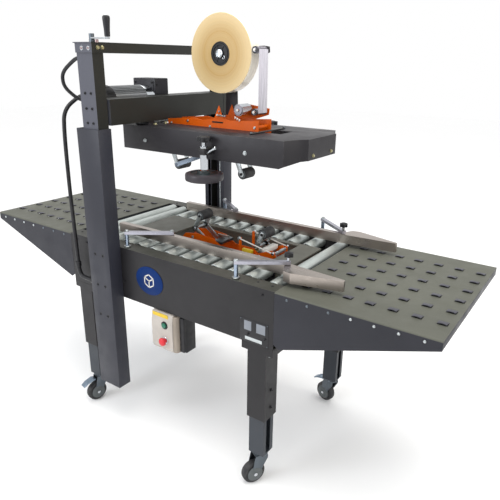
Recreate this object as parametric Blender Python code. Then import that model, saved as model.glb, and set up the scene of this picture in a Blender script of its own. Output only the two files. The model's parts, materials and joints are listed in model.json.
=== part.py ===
"""Carton sealer: a height-adjustable top and bottom tape sealer on a roller bed.

The frame is in metres, +Z up.  X runs along the conveyor, with the infeed at +X and the
outfeed at -X.  The operator's side is -Y.  The origin is on the floor under the middle of
the bed.  Every named object is one closed body, and the record joins them into bodies.
"""
import math

import bmesh
import bpy
from mathutils import Matrix, Vector

# ---------------------------------------------------------------- driving dimensions
GAP = 0.0003            # clearance between neighbouring nodes
BED_HALF = 0.500        # half the length of the roller bed
BED_Y = 0.325           # half the width of the bed
BED_TOP = 0.790         # height of the conveying surface
PANEL_BOTTOM = 0.580    # underside of the bed's side channels
SHEET = 0.003           # folded sheet thickness
FLANGE = 0.060          # width of the channels' top flange
TABLE_LENGTH = 0.520    # each extension table
SKIRT_DEEP = 0.195      # depth of a table's skirt at the bed
SKIRT_SHALLOW = 0.030   # and at its free end

ROLLER_R = 0.024        # conveyor rollers
ROLLER_PITCH = 0.075
ROLLER_Z = BED_TOP + 0.002 - ROLLER_R
SHORT_FIRST_X = -0.320
SHORT_COUNT = 10
LONG_ROLLERS = {"end_roller_out_1": -0.462, "end_roller_out_2": -0.398,
                "end_roller_in": 0.455}
DECK_X = (-0.335, 0.427)
DECK_Y = 0.125
SLOT_X = (-0.157, 0.340)
SLOT_Y = 0.100

LEG_X = 0.4375          # legs and casters
LEG_Y = 0.2875
LEG_OUT = 0.075
LEG_IN = 0.0625
LEG_SPLIT_Z = 0.285
LEG_BOTTOM_Z = 0.130
WHEEL_R = 0.044
WHEEL_WIDTH = 0.030
WHEEL_SIDES = 40
TRAIL = 0.030
CASTERS = {             # sign of X, sign of Y, swivel angle in degrees, has a brake
    "in_near": (1, -1, 242, False),
    "in_far": (1, 1, 165, True),
    "out_near": (-1, -1, 258, True),
    "out_far": (-1, 1, 215, False),
}

MAST_X = (-0.315, -0.200)   # the outer mast channels
MAST_Z = (0.187, 1.235)
MAST_DEEP = 0.0597
COLUMN_X = (-0.2840, -0.2045)
COLUMN_Y = (0.331, 0.378)
COLUMN_BOTTOM = 0.750
TOP_BAR_Z = (1.487, 1.518)
BEAM_Z = (1.245, 1.335)

HEAD_X = (-0.300, 0.472)    # the pressing head
HEAD_Y = 0.180
HEAD_Z = (1.143, 1.2325)
NOSE_Y = 0.097
PLATE_IN = 0.038            # tape-head side plates, inner and outer face
PLATE_OUT = 0.042

ROLL_AXLE = (0.060, 1.490)  # X and Z of the tape roll's axle
ROLL_R = 0.135
ROLL_Y = (-0.028, 0.022)
UPPER_GUIDE = (0.211, 1.503)
LOWER_GUIDE = (0.211, 1.297)
CLUTCH_ROLLER = (0.141, 1.300)

# Tape-head arms: pivot, elbow and roller, for the head's own front and rear.
TOP_FRONT = ((0.210, 1.186), (0.135, 1.130), (0.160, 1.070))
LOW_FRONT = ((0.310, 0.737), (0.232, 0.798), (0.257, 0.853))
REAR_SHIFT_TOP = -0.319
REAR_SHIFT_LOW = -0.304
ARM_ROLLER_R = 0.020

GUIDE_Y = 0.205             # carton guides
GUIDE_X = (-0.320, 0.470)
GUIDE_Z = (0.803, 0.840)
POST_Y = 0.306
POSTS = {"front": 0.337, "rear": -0.180}
ARM_REACH = 0.140

DISC_X = 0.130              # side pressing wheels on the head
DISC_Y = 0.212
DISC_R = 0.067

BOX_X = (-0.040, 0.105)     # control box
BOX_Y = (-0.338, -0.250)
BOX_Z = (0.420, 0.577)

BUTTON_X = 0.0280
START_Z, START_R = 0.5300, 0.011
STOP_Z, STOP_R = 0.4670, 0.016

CRANK = (-0.225, -0.357)

FINISH = {                  # colour, metallic, roughness
    "charcoal": ((0.045, 0.043, 0.047), 0.2, 0.55),
    "olive": ((0.16, 0.165, 0.13), 0.2, 0.6),
    "zinc": ((0.62, 0.64, 0.66), 0.9, 0.35),
    "stainless": ((0.50, 0.47, 0.44), 0.9, 0.32),
    "chrome": ((0.75, 0.76, 0.78), 1.0, 0.12),
    "orange": ((0.75, 0.16, 0.01), 0.1, 0.45),
    "rubber": ((0.02, 0.02, 0.022), 0.0, 0.7),
    "black": ((0.018, 0.018, 0.02), 0.0, 0.45),
    "amber": ((0.62, 0.42, 0.17), 0.0, 0.35),
    "web": ((0.72, 0.70, 0.76), 0.0, 0.3),
    "beige": ((0.55, 0.50, 0.46), 0.0, 0.5),
    "green": ((0.02, 0.35, 0.10), 0.0, 0.4),
    "red": ((0.65, 0.03, 0.02), 0.0, 0.4),
    "grey": ((0.22, 0.22, 0.23), 0.4, 0.5),
}

for old in list(bpy.data.objects):
    bpy.data.objects.remove(old, do_unlink=True)
PARTS = bpy.data.collections.new("carton_sealer")
CUTTERS = bpy.data.collections.new("cutters")
bpy.context.scene.collection.children.link(PARTS)
bpy.context.scene.collection.children.link(CUTTERS)


# ---------------------------------------------------------------- shape helpers
def raw(bm, name="shape"):
    """Turn a bmesh into a loose object."""
    bmesh.ops.recalc_face_normals(bm, faces=bm.faces)
    if bm.calc_volume(signed=True) < 0:
        bmesh.ops.reverse_faces(bm, faces=bm.faces)
    mesh = bpy.data.meshes.new(name)
    bm.to_mesh(mesh)
    bm.free()
    obj = bpy.data.objects.new(name, mesh)
    CUTTERS.objects.link(obj)
    return obj


def block(x, y, z):
    """A box from three (low, high) pairs."""
    bm = bmesh.new()
    bmesh.ops.create_cube(bm, size=1.0)
    size = [abs(b - a) for a, b in (x, y, z)]
    middle = [(a + b) / 2 for a, b in (x, y, z)]
    bmesh.ops.scale(bm, vec=size, verts=bm.verts)
    bmesh.ops.translate(bm, vec=middle, verts=bm.verts)
    return raw(bm)


def bar(start, end, radius, sides=20, far_radius=None):
    """A round bar, or a taper, between two points."""
    start, end = Vector(start), Vector(end)
    along = end - start
    bm = bmesh.new()
    bmesh.ops.create_cone(bm, cap_ends=True, cap_tris=False, segments=sides, radius1=radius,
                          radius2=radius if far_radius is None else far_radius,
                          depth=along.length)
    turn = Vector((0, 0, 1)).rotation_difference(along).to_matrix().to_4x4()
    bm.transform(Matrix.Translation((start + end) / 2) @ turn)
    return raw(bm)


def prism(points, plane, low, high):
    """A flat outline in plane "XY", "XZ" or "YZ", drawn out along the third axis."""
    curve = bpy.data.curves.new("outline", "CURVE")
    curve.dimensions = "2D"
    curve.fill_mode = "BOTH"
    curve.extrude = (high - low) / 2
    spline = curve.splines.new("POLY")
    spline.points.add(len(points) - 1)
    for spot, (a, b) in zip(spline.points, points):
        spot.co = (a, b, 0, 1)
    spline.use_cyclic_u = True
    holder = bpy.data.objects.new("outline", curve)
    CUTTERS.objects.link(holder)
    bpy.context.view_layer.update()
    mesh = bpy.data.meshes.new_from_object(holder)
    bpy.data.objects.remove(holder, do_unlink=True)
    bpy.data.curves.remove(curve)
    bm = bmesh.new()
    bm.from_mesh(mesh)
    bpy.data.meshes.remove(mesh)
    bmesh.ops.remove_doubles(bm, verts=bm.verts, dist=0.00005)
    middle = (low + high) / 2
    bm.transform({
        "XY": Matrix.Translation((0, 0, middle)),
        "XZ": Matrix(((1, 0, 0, 0), (0, 0, 1, middle), (0, 1, 0, 0), (0, 0, 0, 1))),
        "YZ": Matrix(((0, 0, 1, middle), (1, 0, 0, 0), (0, 1, 0, 0), (0, 0, 0, 1))),
    }[plane])
    return raw(bm)


def cable(points, radius, sides=2):
    """A round cord through the given points, smoothed at each bend."""
    path = [Vector(points[0])]
    for before, here, after in zip(points, points[1:], points[2:]):
        before, here, after = Vector(before), Vector(here), Vector(after)
        first, last = here.lerp(before, 0.32), here.lerp(after, 0.32)
        for step in range(4):
            t = step / 3
            path.append(first.lerp(here, t).lerp(here.lerp(last, t), t))
    path.append(Vector(points[-1]))
    curve = bpy.data.curves.new("cord", "CURVE")
    curve.dimensions = "3D"
    curve.bevel_depth = radius
    curve.bevel_resolution = sides
    curve.use_fill_caps = True
    spline = curve.splines.new("POLY")
    spline.points.add(len(path) - 1)
    for spot, place in zip(spline.points, path):
        spot.co = (*place, 1)
    holder = bpy.data.objects.new("cord", curve)
    CUTTERS.objects.link(holder)
    bpy.context.view_layer.update()
    mesh = bpy.data.meshes.new_from_object(holder)
    bpy.data.objects.remove(holder, do_unlink=True)
    bm = bmesh.new()
    bm.from_mesh(mesh)
    bmesh.ops.remove_doubles(bm, verts=bm.verts, dist=0.00005)
    return raw(bm)


def place(obj, matrix):
    """Move a loose shape's mesh."""
    obj.data.transform(matrix)
    return obj


def combine(base, tools, kind):
    """Add one live Boolean modifier for each loose shape."""
    for tool in tools:
        tool.name = f"{base.name}_{kind.lower()}"
        tool.hide_render = True
        tool.display_type = "WIRE"
        step = base.modifiers.new(kind.lower(), "BOOLEAN")
        step.operation = kind
        step.solver = "EXACT"
        step.object = tool


def part(name, finish, base, add=(), cut=(), origin=None, smooth=False):
    """Name a node, and join and cut it with live Boolean modifiers."""
    CUTTERS.objects.unlink(base)
    PARTS.objects.link(base)
    base.name = name
    base.data.name = name
    colour, metallic, roughness = FINISH[finish]
    material = bpy.data.materials.new(name)
    material.use_nodes = True
    shader = material.node_tree.nodes["Principled BSDF"]
    shader.inputs["Base Color"].default_value = (*colour, 1)
    shader.inputs["Metallic"].default_value = metallic
    shader.inputs["Roughness"].default_value = roughness
    base.data.materials.append(material)
    shift = Vector(origin or (0, 0, 0))
    base.data.transform(Matrix.Translation(-shift))
    base.location = shift
    if smooth:
        for face in base.data.polygons:
            face.use_smooth = len(face.vertices) == 4
    combine(base, add, "UNION")
    combine(base, cut, "DIFFERENCE")
    return base


def side(sign, low, high):
    """A (low, high) pair in Y on the near (-1) or far (+1) side."""
    return (low, high) if sign > 0 else (-high, -low)


SIDES = {"near": -1, "far": 1}

# ---------------------------------------------------------------- bed frame
def bed_channel(sign):
    outer, wall = BED_Y * sign, (BED_Y - SHEET) * sign
    inner, lip = (BED_Y - FLANGE) * sign, (BED_Y - 0.035) * sign
    top, low = BED_TOP, PANEL_BOTTOM
    outline = [(outer, low), (outer, top), (inner, top), (inner, top - SHEET),
               (wall, top - SHEET), (wall, low + SHEET), (lip, low + SHEET), (lip, low)]
    return prism(outline, "YZ", -BED_HALF, BED_HALF)


INSIDE = (-BED_Y + 0.0015, BED_Y - 0.0015)
part("bed_frame", "charcoal", bed_channel(-1), add=[
    block((-0.4985, -0.4945), INSIDE, (0.600, 0.735)),
    block((0.4945, 0.4985), INSIDE, (0.600, 0.735)),
    block((-0.205, -0.175), INSIDE, (0.635, 0.665)),
    block((0.360, 0.390), INSIDE, (0.635, 0.665)),
    bed_channel(1),
])

deck_web = (0.665 + GAP, BED_TOP - 0.002)
part("centre_deck", "grey", block(DECK_X, (-DECK_Y, DECK_Y), (BED_TOP - 0.006, BED_TOP)), add=[
    block(DECK_X, (-DECK_Y, -DECK_Y + SHEET), deck_web),
    block(DECK_X, (DECK_Y - SHEET, DECK_Y), deck_web),
], cut=[block(SLOT_X, (-SLOT_Y, SLOT_Y), (0.75, 0.82))])

roller_pieces = []
for index in range(SHORT_COUNT):
    x = SHORT_FIRST_X + index * ROLLER_PITCH
    for sign in SIDES.values():
        ends = side(sign, 0.134, 0.2615)
        roller_pieces.append(bar((x, ends[0], ROLLER_Z), (x, ends[1], ROLLER_Z), ROLLER_R, 14))
for sign in SIDES.values():
    for low, high in ((0.1275, 0.1365), (0.259, 0.262)):
        roller_pieces.append(block((-0.352, 0.376), side(sign, low, high),
                                   (ROLLER_Z - 0.030, ROLLER_Z + 0.006)))
cross_tie = block((-0.352, -0.346), (-0.262, 0.262), (ROLLER_Z - 0.030, ROLLER_Z - 0.012))
part("short_rollers", "zinc", cross_tie, add=roller_pieces)

for name, x in LONG_ROLLERS.items():
    part(name, "zinc", bar((x, -0.2615, ROLLER_Z), (x, 0.2615, ROLLER_Z), ROLLER_R, 24), add=[
        bar((x, -0.318, ROLLER_Z), (x, 0.318, ROLLER_Z), 0.006, 12)],
        origin=(x, 0, ROLLER_Z), smooth=True)

# ---------------------------------------------------------------- extension tables
for name, way in (("table_in", 1), ("table_out", -1)):
    near, far = BED_HALF + GAP, BED_HALF + TABLE_LENGTH
    corner = near + 0.020
    skirt = [(near, BED_TOP), (far, BED_TOP), (far, BED_TOP - SKIRT_SHALLOW),
             (corner, BED_TOP - SKIRT_DEEP - 0.004), (near, BED_TOP - SKIRT_DEEP + 0.010)]
    skirt = [(x * way, z) for x, z in skirt]
    ends = sorted((near * way, (near + SHEET) * way))
    tips = sorted((far * way, (far - SHEET) * way))
    whole = sorted((near * way, far * way))
    part(name, "olive", block(whole, (-BED_Y, BED_Y), (BED_TOP - SHEET, BED_TOP)), add=[
        prism(skirt, "XZ", -BED_Y, -BED_Y + SHEET),
        prism(skirt, "XZ", BED_Y - SHEET, BED_Y),
        block(ends, (-BED_Y + 0.001, BED_Y - 0.001),
              (BED_TOP - SKIRT_DEEP + 0.012, BED_TOP - 0.001)),
        block(tips, (-BED_Y + 0.001, BED_Y - 0.001),
              (BED_TOP - SKIRT_SHALLOW + 0.001, BED_TOP - 0.001)),
    ])

# ---------------------------------------------------------------- legs and casters
def square(x, y, size):
    half = size / 2
    return (x - half, x + half), (y - half, y + half)


for name, way in (("in", 1), ("out", -1)):
    x = LEG_X * way
    plate_x = sorted((0.375 * way, BED_HALF * way))
    tie = block(square(x, 0, LEG_OUT)[0], (-LEG_Y, LEG_Y), (0.556, PANEL_BOTTOM - GAP))
    stand_add, stand_cut = [], []
    for sign in SIDES.values():
        stand_add.append(block(plate_x, side(sign, 0.245, BED_Y), (0.552, PANEL_BOTTOM - GAP)))
        stand_add.append(block(*square(x, LEG_Y * sign, LEG_OUT), (LEG_SPLIT_Z, 0.560)))
        stand_cut.append(block(*square(x, LEG_Y * sign, LEG_OUT - 0.007),
                               (LEG_SPLIT_Z - 0.01, 0.548)))
    part(f"leg_stand_{name}", "charcoal", tie, add=stand_add, cut=stand_cut)

for name, (sx, sy, angle, braked) in CASTERS.items():
    x, y = LEG_X * sx, LEG_Y * sy
    inner = square(x, y, LEG_IN)
    core = square(x, y, LEG_IN - 0.007)
    slot_x = sorted((x, x + sx * LEG_IN))
    part(f"leg_inner_{name}", "charcoal", block(*inner, (LEG_BOTTOM_Z, 0.455)), cut=[
        block(*core, (LEG_BOTTOM_Z + 0.006, 0.470)),
        block(slot_x, (y - 0.013, y + 0.013), (LEG_BOTTOM_Z + 0.006, 0.470))])

    put = Matrix.Translation((x, y, 0)) @ Matrix.Rotation(math.radians(angle), 4, "Z")
    hub = Vector((TRAIL, 0, WHEEL_R))
    cheek = [(-0.020, 0.120), (-0.022, 0.106), (0.018, 0.034), (TRAIL, 0.031), (0.041, 0.038),
             (0.043, 0.052), (0.032, 0.108), (0.028, 0.120)]
    fork = place(bar((0, 0, 0.1135), (0, 0, LEG_BOTTOM_Z - GAP), 0.027, 24), put)
    fork_parts = [place(prism(cheek, "XZ", low, low + 0.0028), put) for low in (-0.0205, 0.0177)]
    fork_parts.append(place(block((-0.020, 0.028), (-0.0195, 0.0195), (0.103, 0.1195)), put))
    fork_parts.append(place(bar((TRAIL, -0.024, WHEEL_R), (TRAIL, 0.024, WHEEL_R), 0.005, 12), put))
    part(f"caster_fork_{name}", "zinc", fork, add=fork_parts, origin=(x, y, 0.12))

    centre = put @ hub
    # A flat of the tread rests on the floor, so the rim is a little outside the wheel's radius.
    half_flat = math.pi / WHEEL_SIDES
    tread = bar((0, -WHEEL_WIDTH / 2, 0), (0, WHEEL_WIDTH / 2, 0), WHEEL_R / math.cos(half_flat),
                WHEEL_SIDES)
    place(tread, put @ Matrix.Translation(hub) @ Matrix.Rotation(half_flat, 4, "Y"))
    bore = place(bar((TRAIL, -0.03, WHEEL_R), (TRAIL, 0.03, WHEEL_R), 0.0058, 16), put)
    hubs = [place(bar((TRAIL, -0.0172, WHEEL_R), (TRAIL, 0.0172, WHEEL_R), 0.012, 20), put)]
    part(f"caster_wheel_{name}", "rubber", tread, add=hubs, cut=[bore], origin=centre, smooth=True)

    if braked:
        pedal = [(0.036, 0.106), (0.036, 0.112), (0.046, 0.115), (0.078, 0.103), (0.094, 0.090),
                 (0.092, 0.086), (0.074, 0.097), (0.050, 0.104)]
        part(f"brake_pedal_{name}", "zinc", place(prism(pedal, "XZ", -0.015, 0.015), put),
             origin=put @ Vector((0.040, 0, 0.110)))

# ---------------------------------------------------------------- masts
for name, sign in SIDES.items():
    root, tip = BED_Y + GAP, BED_Y + MAST_DEEP
    left, right = MAST_X
    outline = [(left, root), (left, tip), (right, tip), (right, root), (right - 0.020, root),
               (right - 0.020, root + SHEET), (right - SHEET, root + SHEET),
               (right - SHEET, tip - SHEET), (left + SHEET, tip - SHEET),
               (left + SHEET, root + SHEET), (left + 0.020, root + SHEET), (left + 0.020, root)]
    part(f"mast_{name}", "charcoal",
         prism([(x, y * sign) for x, y in outline], "XY", *MAST_Z))

# ---------------------------------------------------------------- lift frame
def column(sign):
    left, right = COLUMN_X
    near, far = COLUMN_Y
    outline = [(left, near), (left, far), (right, far), (right, near), (right - SHEET, near),
               (right - SHEET, far - SHEET), (left + SHEET, far - SHEET), (left + SHEET, near)]
    return prism([(x, y * sign) for x, y in outline], "XY", COLUMN_BOTTOM, TOP_BAR_Z[1] - 0.001)


beam_x = (-0.284, -0.200)
beam_web = [(beam_x[1], BEAM_Z[0]), (beam_x[1], BEAM_Z[1]), (beam_x[0], BEAM_Z[1]),
            (beam_x[0], BEAM_Z[1] - 0.004), (beam_x[1] - 0.004, BEAM_Z[1] - 0.004),
            (beam_x[1] - 0.004, BEAM_Z[0] + 0.004), (beam_x[0], BEAM_Z[0] + 0.004),
            (beam_x[0], BEAM_Z[0])]
tongue_z = (BEAM_Z[0] + 0.002, BEAM_Z[1] - 0.002)
bar_x = (-0.286, -0.200)
lift_add = [column(-1), column(1), prism(beam_web, "XZ", -0.3225, 0.3225),
            block(bar_x, (-0.382, 0.382), (TOP_BAR_Z[1] - 0.003, TOP_BAR_Z[1])),
            block((bar_x[0], bar_x[0] + 0.0035), (-0.381, 0.381),
                  (TOP_BAR_Z[0], TOP_BAR_Z[1] - 0.001))]
for sign in SIDES.values():
    lift_add.append(block((-0.280, -0.230), side(sign, 0.300, 0.3765), tongue_z))
    lift_add.append(block((-0.286, -0.200), side(sign, 0.3775, 0.3815),
                          (TOP_BAR_Z[0], TOP_BAR_Z[1] - 0.001)))
    lift_add.append(block((-0.282, -0.202), side(sign, 0.3205, 0.3245), tongue_z))
lift = part("lift_frame", "charcoal",
            block((bar_x[1] - 0.0038, bar_x[1]), (-0.381, 0.381),
                  (TOP_BAR_Z[0], TOP_BAR_Z[1] - 0.001)), add=lift_add)

# ---------------------------------------------------------------- crank
cx, cy = CRANK
part("crank", "zinc", bar((cx, cy, TOP_BAR_Z[1] + GAP), (cx, cy, 1.545), 0.010, 20), add=[
    block((cx, cx + 0.082), (cy - 0.008, cy + 0.008), (1.530, 1.536)),
    bar((cx + 0.078, cy, 1.531), (cx + 0.078, cy, 1.602), 0.004, 12),
    bar((cx + 0.078, cy, 1.5305), (cx + 0.078, cy, 1.5355), 0.009, 16)],
    origin=(cx, cy, 1.53))
part("crank_grip", "black",
     bar((cx + 0.078, cy, 1.5365), (cx + 0.078, cy, 1.600), 0.009, 20, 0.0125),
     cut=[bar((cx + 0.078, cy, 1.52), (cx + 0.078, cy, 1.61), 0.0047, 16)],
     origin=(cx + 0.078, cy, 1.567), smooth=True)

# ---------------------------------------------------------------- motor
motor_x, motor_z, motor_r = -0.3435, 1.318, 0.058
motor_add = [
    bar((motor_x, -0.262, motor_z), (motor_x, -0.212, motor_z), motor_r - 0.001, 28),
    block((-0.415, -0.2905), (-0.006, 0.070), (1.262, 1.396)),
    block((-0.345, -0.2843), (0.002, 0.062), (1.270, 1.322)),
    cable([(-0.2845, -0.352, 1.470), (-0.325, -0.352, 1.470), (-0.405, -0.356, 1.420),
           (-0.410, -0.350, 1.370), (-0.385, -0.310, 1.325), (-0.350, -0.270, 1.318),
           (-0.3435, -0.245, 1.318)], 0.0065),
]
part("motor", "grey", bar((motor_x, -0.215, motor_z), (motor_x, 0.010, motor_z), motor_r - 0.004,
                          28), add=motor_add)

# ---------------------------------------------------------------- pressing head
left, right = HEAD_X
step = 0.428
outline = [(left, -HEAD_Y), (step, -HEAD_Y), (step + 0.008, -0.150), (step + 0.022, -0.118),
           (step + 0.040, -NOSE_Y), (right, -NOSE_Y)]
outline += [(x, -y) for x, y in reversed(outline)]
hollow = [(left - 0.01, -HEAD_Y + SHEET), (step - 0.002, -HEAD_Y + SHEET),
          (step + 0.005, -0.150), (step + 0.019, -0.116), (step + 0.037, -NOSE_Y + SHEET),
          (right - SHEET, -NOSE_Y + SHEET)]
hollow += [(x, -y) for x, y in reversed(hollow)]
head_add = [block((left, left + SHEET), (-HEAD_Y + 0.001, HEAD_Y - 0.001),
                  (HEAD_Z[0] + 0.020, HEAD_Z[1] - 0.001))]
for sign in SIDES.values():
    head_add.append(block((-0.278, -0.206), side(sign, 0.105, 0.135),
                          (HEAD_Z[1] - 0.002, BEAM_Z[0] - GAP)))
    head_add.append(block((-0.2975, 0.400), side(sign, PLATE_OUT + GAP, PLATE_OUT + 0.003),
                          (HEAD_Z[1] - 0.030, HEAD_Z[1] - 0.001)))
posts = []
for sign in SIDES.values():
    y = DISC_Y * sign
    posts += [bar((DISC_X, y, 1.112), (DISC_X, y, 1.200), 0.0135, 20),
              bar((DISC_X, y, 1.195), (DISC_X, y, 1.205), 0.007, 12),
              bar((DISC_X, y, 1.204), (DISC_X, y, 1.226), 0.026, 8),
              block((DISC_X - 0.013, DISC_X + 0.013), side(sign, HEAD_Y - 0.0015, DISC_Y),
                    (1.165, 1.185))]
head = part("head_frame", "charcoal", prism(outline, "XY", *HEAD_Z), add=head_add, cut=[
    prism(hollow, "XY", HEAD_Z[0] - 0.01, HEAD_Z[1] - SHEET),
    block((-0.240, 0.330), (-PLATE_OUT - GAP, PLATE_OUT + GAP), (1.15, 1.25)),
    block((0.452, 0.500), (-0.2, 0.2), (HEAD_Z[0] - 0.01, HEAD_Z[0] + 0.018)),
    prism([(0.412, HEAD_Z[0] - 0.01), (0.51, HEAD_Z[0] - 0.01), (0.51, HEAD_Z[0] + 0.025),
           (0.452, HEAD_Z[0] + 0.018), (0.412, HEAD_Z[0])], "XZ", -0.25, 0.25),
])
combine(head, posts, "UNION")

# ---------------------------------------------------------------- tape heads
def head_plates(outline, spacers):
    """Two matching side plates held apart by round spacers."""
    plates = [prism(outline, "XZ", -PLATE_OUT, -PLATE_IN), prism(outline, "XZ", PLATE_IN, PLATE_OUT)]
    rods = [bar((x, -PLATE_IN - 0.002, z), (x, PLATE_IN + 0.002, z), 0.006, 12)
            for x, z in spacers]
    return plates, rods


top_outline = [(-0.192, 1.150), (0.238, 1.150), (0.238, 1.270), (0.110, 1.262), (0.078, 1.270),
               (0.062, 1.312), (0.040, 1.266), (-0.020, 1.256), (-0.060, 1.262), (-0.192, 1.250)]
plates, rods = head_plates(top_outline, ((-0.175, 1.235), (0.020, 1.235), (0.222, 1.245)))
# The carrier behind the roll grows out of the far plate.
carrier = [(0.030, 1.250), (0.120, 1.250), (0.225, 1.284), (0.228, 1.306), (0.126, 1.318),
           (0.086, 1.300), (0.082, 1.470), (0.205, 1.488), (0.224, 1.496), (0.222, 1.515),
           (0.200, 1.518), (0.075, 1.512), (0.045, 1.512), (0.036, 1.480)]
carrier_y = (PLATE_OUT - 0.001, PLATE_OUT + 0.003)
top_add = plates[1:] + rods + [prism(carrier, "XZ", *carrier_y)]
back = carrier_y[1] - 0.002
top_add.append(bar((ROLL_AXLE[0], -0.036, ROLL_AXLE[1]), (ROLL_AXLE[0], back, ROLL_AXLE[1]),
                   0.008, 20))
top_add.append(bar((ROLL_AXLE[0], 0.0235, ROLL_AXLE[1]), (ROLL_AXLE[0], back, ROLL_AXLE[1]),
                   0.020, 20))
for x, z in (UPPER_GUIDE, LOWER_GUIDE, CLUTCH_ROLLER):
    top_add.append(bar((x, -0.034, z), (x, back, z), 0.004, 12))
part("top_tape_head", "orange", plates[0], add=top_add)

low_outline = [(-0.200, 0.6655), (0.385, 0.6655), (0.385, 0.700), (0.337, 0.770), (0.305, 0.802),
               (0.200, 0.760), (0.080, 0.762), (0.030, 0.792), (-0.060, 0.800), (-0.120, 0.790),
               (-0.200, 0.700)]
plates, rods = head_plates(low_outline, ((-0.165, 0.690), (0.110, 0.685), (0.355, 0.690)))
part("low_tape_head", "orange", plates[0], add=plates[1:] + rods)


def tape_arm(name, pivot, elbow, roller, up):
    """A bent two-plate arm on a cross tube, and the rubber roller at its end."""
    def around(spot, radius, angles):
        return [(spot[0] + radius * math.cos(math.radians(a)),
                 spot[1] + radius * math.sin(math.radians(a))) for a in angles]
    if up:
        line = (around(roller, 0.008, (100, 180, 270, 0)) + around(elbow, 0.010, (300,))
                + around(pivot, 0.010, (270, 0, 90, 150)) + around(elbow, 0.010, (120, 180)))
    else:
        line = (around(roller, 0.008, (260, 180, 90, 0)) + around(elbow, 0.010, (60,))
                + around(pivot, 0.010, (90, 0, 270, 210)) + around(elbow, 0.010, (240, 180)))
    sides = [prism(line, "XZ", -0.0345, -0.0315), prism(line, "XZ", 0.0315, 0.0345)]
    tube = bar((pivot[0], -0.037, pivot[1]), (pivot[0], 0.037, pivot[1]), 0.007, 16)
    brace = bar((elbow[0], -0.033, elbow[1]), (elbow[0], 0.033, elbow[1]), 0.005, 12)
    axle = bar((roller[0], -0.0345, roller[1]), (roller[0], 0.0345, roller[1]), 0.005, 12)
    part(f"{name}_arm", "zinc", tube, add=sides + [brace, axle], origin=(pivot[0], 0, pivot[1]))
    part(f"{name}_roller", "rubber",
         bar((roller[0], -0.0305, roller[1]), (roller[0], 0.0305, roller[1]), ARM_ROLLER_R, 28),
         cut=[bar((roller[0], -0.05, roller[1]), (roller[0], 0.05, roller[1]), 0.0057, 16)],
         origin=(roller[0], 0, roller[1]), smooth=True)


def shifted(spots, amount):
    return [(x + amount, z) for x, z in spots]


tape_arm("top_front", *TOP_FRONT, True)
tape_arm("top_rear", *shifted(TOP_FRONT, REAR_SHIFT_TOP), True)
tape_arm("low_front", *LOW_FRONT, False)
tape_arm("low_rear", *[(x, z + 0.020) for x, z in shifted(LOW_FRONT, REAR_SHIFT_LOW)], False)

# ---------------------------------------------------------------- tape roll, rollers and web
rx, rz = ROLL_AXLE
part("tape_roll", "amber", bar((rx, ROLL_Y[0], rz), (rx, ROLL_Y[1], rz), ROLL_R, 64), add=[
    bar((rx, ROLL_Y[0] - 0.004, rz), (rx, ROLL_Y[1], rz), 0.030, 32)],
    cut=[bar((rx, -0.06, rz), (rx, 0.06, rz), 0.0087, 24)], origin=(rx, 0, rz), smooth=True)
for name, (x, z), radius, finish in (("guide_roller_top", UPPER_GUIDE, 0.012, "rubber"),
                                     ("guide_roller_low", LOWER_GUIDE, 0.012, "rubber"),
                                     ("clutch_roller", CLUTCH_ROLLER, 0.021, "chrome")):
    part(name, finish, bar((x, -0.031, z), (x, 0.031, z), radius, 24),
         cut=[bar((x, -0.05, z), (x, 0.05, z), 0.0047, 16)], origin=(x, 0, z), smooth=True)
web_low = LOWER_GUIDE[1] - 0.004


def web_arc(radius, angles):
    """Points round the upper guide roller."""
    return [(UPPER_GUIDE[0] + radius * math.cos(math.radians(a)),
             UPPER_GUIDE[1] + radius * math.sin(math.radians(a))) for a in angles]


part("tape_web", "web", prism(
    [(UPPER_GUIDE[0] + 0.0127, web_low), (UPPER_GUIDE[0] + 0.0142, web_low)]
    + web_arc(0.0142, (0, 25, 50, 75)) + web_arc(0.0127, (75, 50, 25, 0)), "XZ", -0.026, 0.024))

# ---------------------------------------------------------------- side pressing wheels
for name, sign in SIDES.items():
    y = DISC_Y * sign
    part(f"press_wheel_{name}", "grey", bar((DISC_X, y, 1.075), (DISC_X, y, 1.102), DISC_R, 40),
         add=[bar((DISC_X, y, 1.100), (DISC_X, y, 1.112 - GAP), 0.020, 20)],
         origin=(DISC_X, y, 1.09), smooth=True)

# ---------------------------------------------------------------- carton guides
for name, sign in SIDES.items():
    low, high = GUIDE_Z
    inner, outer = (GUIDE_Y - 0.011) * sign, (GUIDE_Y + 0.011) * sign
    skin = 0.0025 * sign
    rail = [(inner, low), (inner, high), (outer, high), (outer, low), (outer - skin, low),
            (outer - skin, high - 0.0025), (inner + skin, high - 0.0025), (inner + skin, low)]
    wing = [(GUIDE_X[1] - 0.002, 0.194), (0.685, 0.214), (0.687, 0.226), (0.520, 0.268),
            (0.492, 0.262), (GUIDE_X[1] - 0.002, 0.216)]
    part(f"guide_rail_{name}", "stainless", prism(rail, "YZ", *GUIDE_X), add=[
        prism([(x, y * sign) for x, y in wing], "XY", low + 0.001, high - 0.001)],
        origin=(POSTS["front"] + ARM_REACH, GUIDE_Y * sign, high))
    for where, x in POSTS.items():
        end = (x + ARM_REACH, GUIDE_Y * sign)
        start = (x, POST_Y * sign)
        along = (Vector(end) - Vector(start)).normalized()
        across = Vector((-along.y, along.x)) * 0.0085
        corners = [Vector(start) + across - along * 0.007, Vector(end) + across + along * 0.007,
                   Vector(end) - across + along * 0.007, Vector(start) - across - along * 0.007]
        part(f"guide_arm_{where}_{name}", "zinc",
             prism([tuple(c) for c in corners], "XY", high + 0.0015, high + 0.0125), add=[
                 bar((*start, BED_TOP + GAP), (*start, high + 0.004), 0.007, 14)],
             origin=(*start, high))
    end = (POSTS["front"] + ARM_REACH, GUIDE_Y * sign)
    base = high + 0.0125 + GAP
    part(f"guide_knob_{name}", "black", bar((*end, base), (*end, base + 0.018), 0.006, 14), add=[
        bar((*end, base + 0.014), (*end, base + 0.027), 0.017, 10)], origin=(*end, base))

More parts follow.
